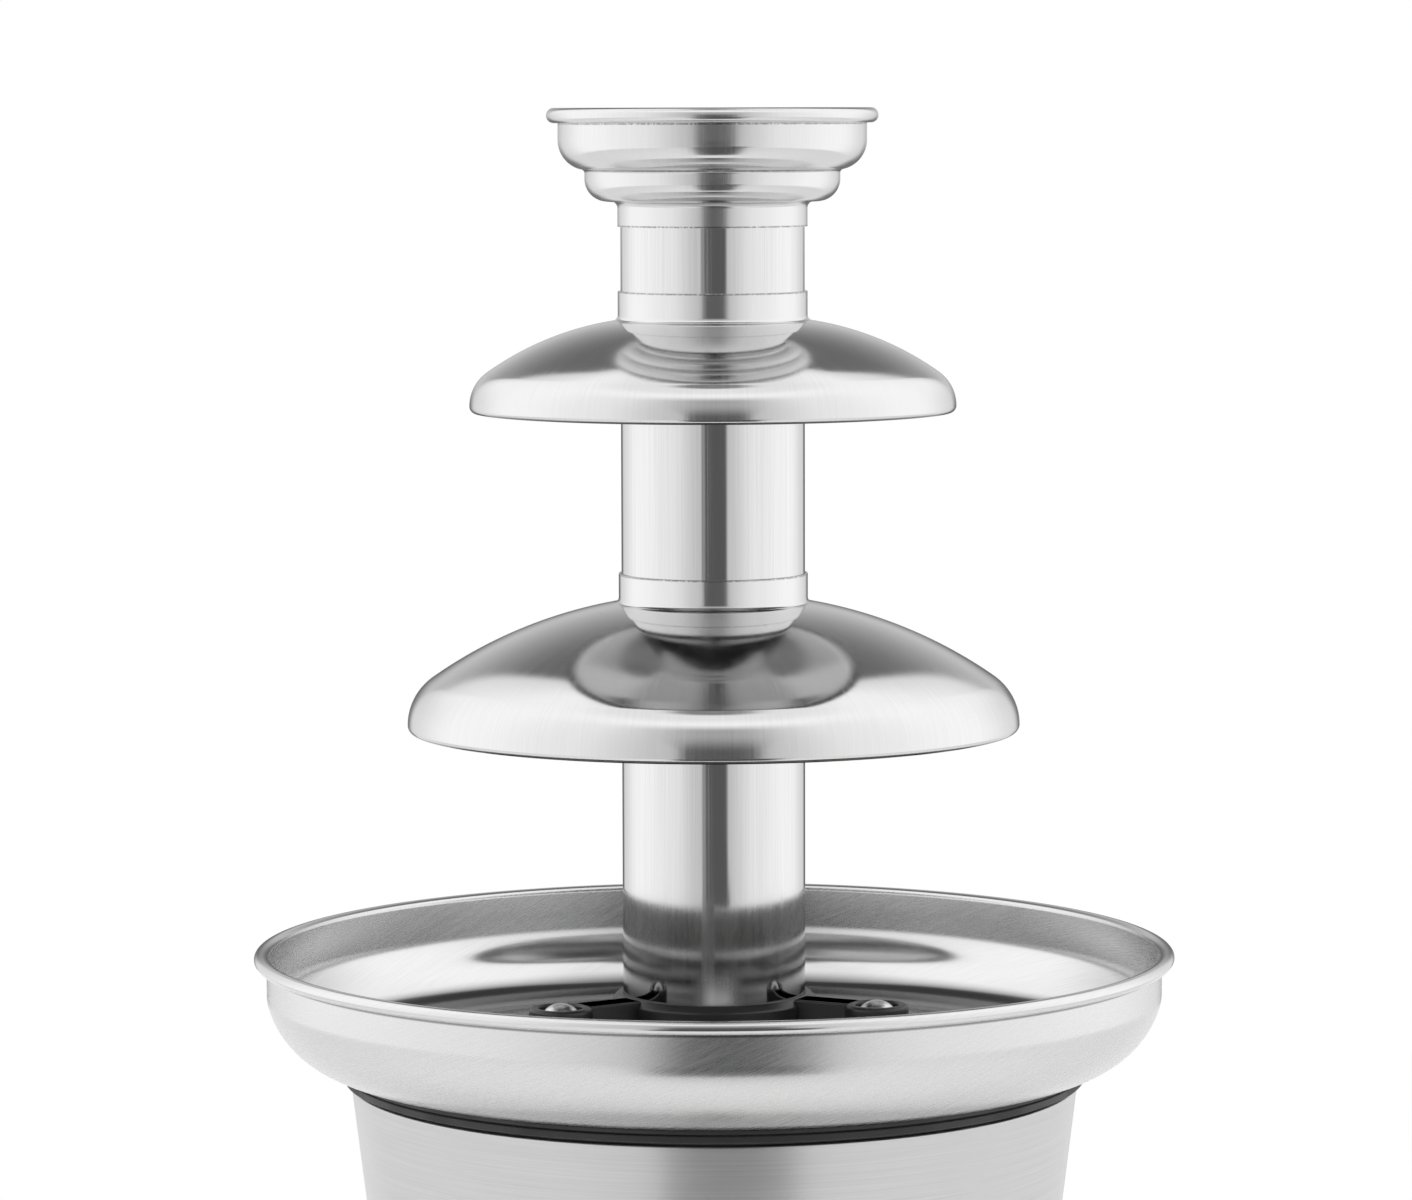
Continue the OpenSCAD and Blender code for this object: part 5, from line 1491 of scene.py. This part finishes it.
@dataclass
class Housing:
    """Tapered shell of the base with the switch knob and its raised mark."""

    sheet: float = 0.8
    foot_r: float = 76.65
    deck_r: float = 89.6
    edge_r: float = 0.5
    flange_r: float = 72.6
    knob_skirt_r: float = 17.0
    knob_skirt_h: float = 5.0
    knob_grip_r: float = 13.4
    knob_top_r: float = 12.0
    knob_h: float = 15.0
    knob_gap: float = 0.8
    knob_hollow_r: float = 8.0
    knob_hollow_h: float = 3.2
    knob_flutes: int = 18
    flute_columns: int = 18
    knob_flute: float = 0.55
    flute_cut: float = 0.4
    grip_h: Span = (0.4, 1.6)
    grip_in: Span = (8.0, 11.0)
    mark_w: float = 2.4
    mark_h: float = 5.0
    mark_in: float = 1.7

    def outline(self, low: float, high: float) -> Array:
        """Closed outline: out along the top flange, round the edge, down the wall and back inside.

        Args:
            low: Height of the wall's foot.
            high: Height of the top flange.

        Returns:
            Points of the outline.
        """
        taper = math.atan2(self.deck_r - self.foot_r, high - low)
        wall = self.sheet / math.cos(taper)
        shoulder = self.deck_r - wall - self.sheet * math.tan(taper)
        return rounded([(self.flange_r, high, 0.1), (self.deck_r, high, self.edge_r), (self.foot_r, low, 0.1),
                        (self.foot_r - wall, low, 0.1), (shoulder, high - self.sheet, 0.2),
                        (self.flange_r, high - self.sheet, 0.1)])

    def knob(self) -> Surface:
        """The knob about its own axis: a skirt, and a grip whose radius waves in and out as flutes.

        Returns:
            The knob's surface, with its back at z = 0.
        """
        outline = joined(rounded([
            (0, self.knob_hollow_h, 0), (self.knob_hollow_r, self.knob_hollow_h, 0.2),
            (self.knob_hollow_r, 0, 0.3), (self.knob_skirt_r, 0, 0.5),
            (self.knob_skirt_r - 1, self.knob_skirt_h, 0.9),
            (self.knob_grip_r, self.knob_skirt_h, 0.5), (self.knob_top_r, self.knob_h, 1.4),
            (self.knob_top_r - 3, self.knob_h - 0.5, 1.2), (0, self.knob_h - 0.5, 0)]))
        turn = np.linspace(0, 2 * math.pi, self.flute_columns * self.knob_flutes, endpoint=False)
        grip = smooth(outline[:, 1] - self.knob_skirt_h, *self.grip_h) * smooth(outline[:, 0], *self.grip_in)
        wave = np.clip(np.cos(self.knob_flutes * turn), -self.flute_cut, 1) + self.flute_cut
        flute = -self.knob_flute / (1 + self.flute_cut)
        return lathe(outline, angles=turn, relief=flute * np.outer(grip, wave))

    def build(self, shop: Workshop) -> None:
        """Make the shell, the knob and its raised mark."""
        low, high = node_box("base_housing")
        shell = lathe(self.outline(low[2], high[2]), WIDE_COLUMNS)
        shop.piece("housing_shell", shell, "base", "housing_steel", "base_housing")
        joint = next(j for j in frame["joints"] if j["name"] == "knob_turn")
        axis = np.array(joint["axis"], float)
        wall = Place.on_wall(np.array(joint["pos_m"], float) / MM, axis)
        seat = Place(wall.origin + self.knob_gap * axis, wall.axes)
        surface = self.knob().placed(seat)
        half, foot, top = self.mark_w / 2, self.knob_skirt_h - 0.5, self.knob_skirt_h + self.mark_h
        loop = rounded([(-half, foot, 0.1), (half, foot, 0.1), (half, top, 0.6), (-half, top, 0.6)])
        mark = bar(loop, (self.mark_in - self.knob_skirt_r, 2 - self.knob_top_r))
        shop.piece("knob_grip", surface + mark.placed(seat), "knob", "plated_steel", "control_knob")


@dataclass(frozen=True)
class SoftBox:
    """A square lamp with a soft front that lights matt surfaces."""

    name: str
    place: tuple[float, float, float]
    aim: tuple[float, float, float]
    size: float
    power: float

    def build(self) -> None:
        """Hang the lamp and turn it to its aim."""
        lamp = bpy.data.lights.new(self.name, "AREA")
        lamp.size, lamp.energy = self.size, self.power
        obj = set_out(self.name, lamp)
        obj.location = self.place
        obj.rotation_euler = (Vector(self.aim) - Vector(self.place)).to_track_quat("-Z", "Y").to_euler()
        obj.visible_camera = obj.visible_glossy = False


@dataclass(frozen=True)
class Screens:
    """Brightness of the screens round the object, as the steel shows it. Angles are in degrees.

    Azimuth 0 is towards the camera. Two tall side lights leave a dark gap at the front, which fades upwards
    and widens to the right at its foot. They fall off towards the gap and towards the back, and join
    overhead. A grey screen that darkens upwards hangs behind the object, and the zenith is dark.
    """

    level: float = 0.53
    side_gain: float = 0.27
    side_at: Span = (15.0, 55.0)
    wide_gain: float = 0.12
    wide_at: Span = (50.0, 100.0)
    fall: float = 0.32
    fall_at: Span = (108.0, 152.0)
    fall_less: float = 0.75
    fall_up: Span = (6.0, 32.0)
    gap_dark: float = 0.44
    gap_middle: float = 2.5
    gap_half: Span = (12.5, 16.0)
    gap_blur: Span = (-8.0, 12.0)
    gap_less: float = 0.6
    gap_up: Span = (3.0, 38.0)
    gap_foot: float = 6.0
    gap_foot_up: Span = (-15.0, -11.0)
    roof: float = 0.89
    roof_up: Span = (44.0, 60.0)
    top_dark: float = 0.13
    top_up: Span = (58.0, 72.0)
    back_edge: float = 153.5
    back_grow: float = 8.0
    back_grow_up: Span = (18.0, 54.0)
    back_shrink: float = 34.5
    back_shrink_up: Span = (54.0, 77.0)
    back_sharp: float = 0.75
    back_sharp_half: float = 1.5
    back_soft_w: float = 10.0
    back_end_up: Span = (74.0, 80.0)
    back_grey: float = 0.5
    back_dark: float = 0.37
    back_dark_up: Span = (2.0, 44.0)
    zenith_dark: float = 0.75
    zenith_up: Span = (79.0, 84.0)
    foot_dark: float = 0.8
    foot_at: Span = (150.0, 161.0)
    foot_up: Span = (0.0, 12.0)

    def lights(self, azimuth: Array, elevation: Array) -> Array:
        """Brightness of the side lights with their gap and the roof that joins them.

        Args:
            azimuth: Angles round the object.
            elevation: Angles above the level.

        Returns:
            Brightness, 1 for white.
        """
        side = np.abs(azimuth)
        high = smooth(elevation, *self.gap_up)
        low = self.gap_foot * (1 - smooth(elevation, *self.gap_foot_up))
        inner, outer = (half + blur * high + low for half, blur in zip(self.gap_half, self.gap_blur))
        gap = 1 - smooth(np.abs(azimuth - self.gap_middle - low), inner, outer)
        fall = self.fall * smooth(side, *self.fall_at)
        fall = fall * (1 - self.fall_less * smooth(elevation, *self.fall_up))
        glow = self.level + self.side_gain * smooth(side, *self.side_at)
        glow = glow + self.wide_gain * smooth(side, *self.wide_at) - fall
        glow = glow - self.gap_dark * gap * (1 - self.gap_less * high)
        glow = glow + smooth(elevation, *self.roof_up) * (self.roof - glow)
        return glow - self.top_dark * smooth(elevation, *self.top_up)

    def glow(self, azimuth: Array, elevation: Array) -> Array:
        """Brightness of all the screens.

        Args:
            azimuth: Angles round the object.
            elevation: Angles above the level.

        Returns:
            Brightness, 1 for white.
        """
        side = np.abs(azimuth)
        edge = self.back_edge - self.back_grow * smooth(elevation, *self.back_grow_up)
        edge = edge + self.back_shrink * smooth(elevation, *self.back_shrink_up)
        back = self.back_sharp * smooth(side, edge - self.back_sharp_half, edge + self.back_sharp_half)
        back = back + (1 - self.back_sharp) * smooth(side, edge - self.back_soft_w, edge)
        back = back * (1 - smooth(elevation, *self.back_end_up))
        behind = self.back_grey - self.back_dark * smooth(elevation, *self.back_dark_up)
        glow = self.lights(azimuth, elevation)
        glow = glow + back * (behind - glow)
        glow = glow * (1 - self.zenith_dark * smooth(elevation, *self.zenith_up))
        foot = smooth(side, *self.foot_at) * (1 - smooth(elevation, *self.foot_up))
        return glow * (1 - self.foot_dark * foot)


@dataclass
class Studio:
    """Camera, pale floor, white surroundings, soft lamps and the screens that metal mirrors, in metres."""

    camera_at: tuple[float, float, float] = (0.0, -1.33363, 0.35393)
    camera_pitch: float = 84.8594
    camera_roll: float = -0.1394
    camera_yaw: float = 0.0772
    lens: float = 139.063
    sensor: float = 36.0
    clip_end: float = 50.0
    ambient: float = 0.55
    floor_rings: tuple[float, ...] = (0.002, 0.2, 0.5, 1.0, 2.0, 6.0)
    floor_columns: int = 96
    floor_white: Colour = grey(0.86)
    floor_fade: Span = (0.16, 0.75)
    floor_near: float = 0.3
    floor_gap: float = 0.1
    gap_slant: float = 0.09
    gap_spread: Span = (0.29, 0.43)
    gap_start: Span = (0.2, 0.3)
    screens: Screens = Screens()
    screen_r: float = 0.8
    screen_z: float = 0.22
    screen_up: Span = (-16.0, 89.5)
    screen_rows: int = 120
    screen_columns: int = 360
    steel_share: float = STEEL[0]
    lamps: tuple[SoftBox, ...] = (
        SoftBox("top_lamp", (0.1, -0.2, 1.9), (0, 0, 0.15), 1.6, 24.0),
        SoftBox("left_lamp", (-1.7, -0.9, 0.9), (0, 0, 0.2), 1.3, 16.0),
        SoftBox("right_lamp", (1.7, -0.8, 0.8), (0, 0, 0.2), 1.3, 13.0),
    )

    def build_camera(self) -> None:
        """Set the camera at the photographed viewpoint."""
        data = bpy.data.cameras.new("camera")
        data.lens, data.sensor_width, data.clip_end = self.lens, self.sensor, self.clip_end
        obj = set_out("camera", data)
        turn = (Matrix.Rotation(math.radians(self.camera_yaw), 4, "Z")
                @ Matrix.Rotation(math.radians(self.camera_pitch), 4, "X")
                @ Matrix.Rotation(math.radians(self.camera_roll), 4, "Z"))
        obj.location = self.camera_at
        obj.rotation_euler = turn.to_euler()
        bpy.context.scene.camera = obj

    @staticmethod
    def seen(graph: Graph) -> Socket:
        """Tell the rays that show the studio from those that light matt surfaces.

        Args:
            graph: Graph of a material or of the world.

        Returns:
            1 for rays from the camera, a mirror or glass, and 0 for the rest.
        """
        path = graph.add("ShaderNodeLightPath").outputs
        seen = graph.math("MAXIMUM", path["Is Camera Ray"], path["Is Glossy Ray"])
        return graph.math("MAXIMUM", seen, path["Is Transmission Ray"])

    def build_world(self) -> None:
        """White surroundings, dimmer as a light on matt surfaces."""
        world = bpy.data.worlds.new("surroundings")
        world.use_nodes = True
        bpy.context.scene.world = world
        graph = Graph(world.node_tree)
        strength = graph.span(self.seen(graph), 0, 1, self.ambient, 1.0)
        back = graph.add("ShaderNodeBackground", {"Color": WHITE, "Strength": strength})
        graph.add("ShaderNodeOutputWorld", {0: back.outputs[0]})

    def stage(self, name: str, points: Array, graph: Graph) -> bpy.types.Object:
        """Make a piece of the studio from a grid of points whose columns wrap round.

        Args:
            name: Name of the piece.
            points: Its points in metres, rows by columns by 3.
            graph: Graph of its material.

        Returns:
            The new object.
        """
        mesh = bpy.data.meshes.new(name)
        quads = woven(*points.shape[:2], False)
        mesh.from_pydata(points.reshape(-1, 3).tolist(), [], quads.tolist())
        mesh.shade_smooth()
        mesh.materials.append(graph.owner)
        obj = set_out(name, mesh)
        return obj

    def build_floor(self) -> None:
        """Pale floor that keeps the shadow and fades to white, with the screens' front gap for mirrors."""
        graph = Graph.material("floor")
        part = graph.parts(graph.object_point())
        far = graph.span(graph.radius(part), *self.floor_fade, self.floor_near, 1.0)
        ahead = graph.times(part[1], -1.0)
        slant = graph.math("DIVIDE", part[0], graph.math("MAXIMUM", ahead, 0.01))
        wedge = graph.span(graph.apart(slant, self.gap_slant), *self.gap_spread, 1, 0)
        mirrored = graph.add("ShaderNodeLightPath").outputs["Is Glossy Ray"]
        gap = graph.times(wedge, graph.span(ahead, *self.gap_start), mirrored)
        strength = graph.span(gap, 0, 1, 1.0, self.floor_gap)
        matt = graph.add("ShaderNodeBsdfDiffuse", {"Color": self.floor_white})
        glow = graph.add("ShaderNodeEmission", {"Color": WHITE, "Strength": strength})
        share = graph.times(graph.math("MAXIMUM", far, gap), self.seen(graph))
        mixed = graph.add("ShaderNodeMixShader", {0: share, 1: matt.outputs[0], 2: glow.outputs[0]})
        graph.add("ShaderNodeOutputMaterial", {0: mixed.outputs[0]})
        turn = np.linspace(0, 2 * math.pi, self.floor_columns, endpoint=False)
        rings = np.array(self.floor_rings)[:, None]
        points = np.stack([rings * np.cos(turn), rings * np.sin(turn), 0 * rings * turn], -1)
        self.stage("floor", points, graph)

    def build_screens(self) -> None:
        """One domed screen round the object, seen by mirrors only, with its brightness on its points."""
        graph = Graph.material("screen")
        light = graph.add("ShaderNodeEmission", {"Color": WHITE, "Strength": graph.kept("glow")})
        graph.add("ShaderNodeOutputMaterial", {0: light.outputs[0]})
        around = np.linspace(-180, 180, self.screen_columns, endpoint=False)
        azimuth, elevation = np.meshgrid(around, np.linspace(*self.screen_up, self.screen_rows))
        a, e = np.radians(azimuth), np.radians(elevation)
        out = self.screen_r * np.cos(e)
        height = self.screen_z + self.screen_r * np.sin(e)
        obj = self.stage("screen", np.stack([out * np.sin(a), -out * np.cos(a), height], -1), graph)
        glow = self.screens.glow(azimuth, elevation) / self.steel_share
        Workshop.mark(obj, "glow", glow.ravel(), 1)
        obj.visible_camera = obj.visible_diffuse = obj.visible_shadow = False
        obj.visible_transmission = obj.visible_volume_scatter = False

    def build(self) -> None:
        """Set up the whole studio."""
        bpy.context.scene.view_settings.view_transform = "Standard"
        self.build_camera()
        self.build_world()
        self.build_floor()
        self.build_screens()
        for lamp in self.lamps:
            lamp.build()


def main() -> None:
    """Build the studio and the pieces in order."""
    logging.basicConfig(level=logging.INFO)
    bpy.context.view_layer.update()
    Studio().build()
    shop = Workshop()
    shop.dress_nodes()
    upper = Tier("upper_tier", rim_r=59.55, shoulder_r=10.0, neck_slope=8.9, shoulder_slope=35.5,
                 collar_h=7.3)
    lower = Tier("lower_tier", rim_r=75.15, shoulder_r=13.4, neck_slope=10.1, shoulder_slope=35.0,
                 collar_h=7.4, slot_angles=Tube.upper_pips)
    for assembly in (Crown(), upper, lower, Tube(), Hub(), Auger(), Bowl(), Housing()):
        assembly.build(shop)
    log.info("%d new pieces", len(shop.pieces))


if __name__ == "__main__":
    main()
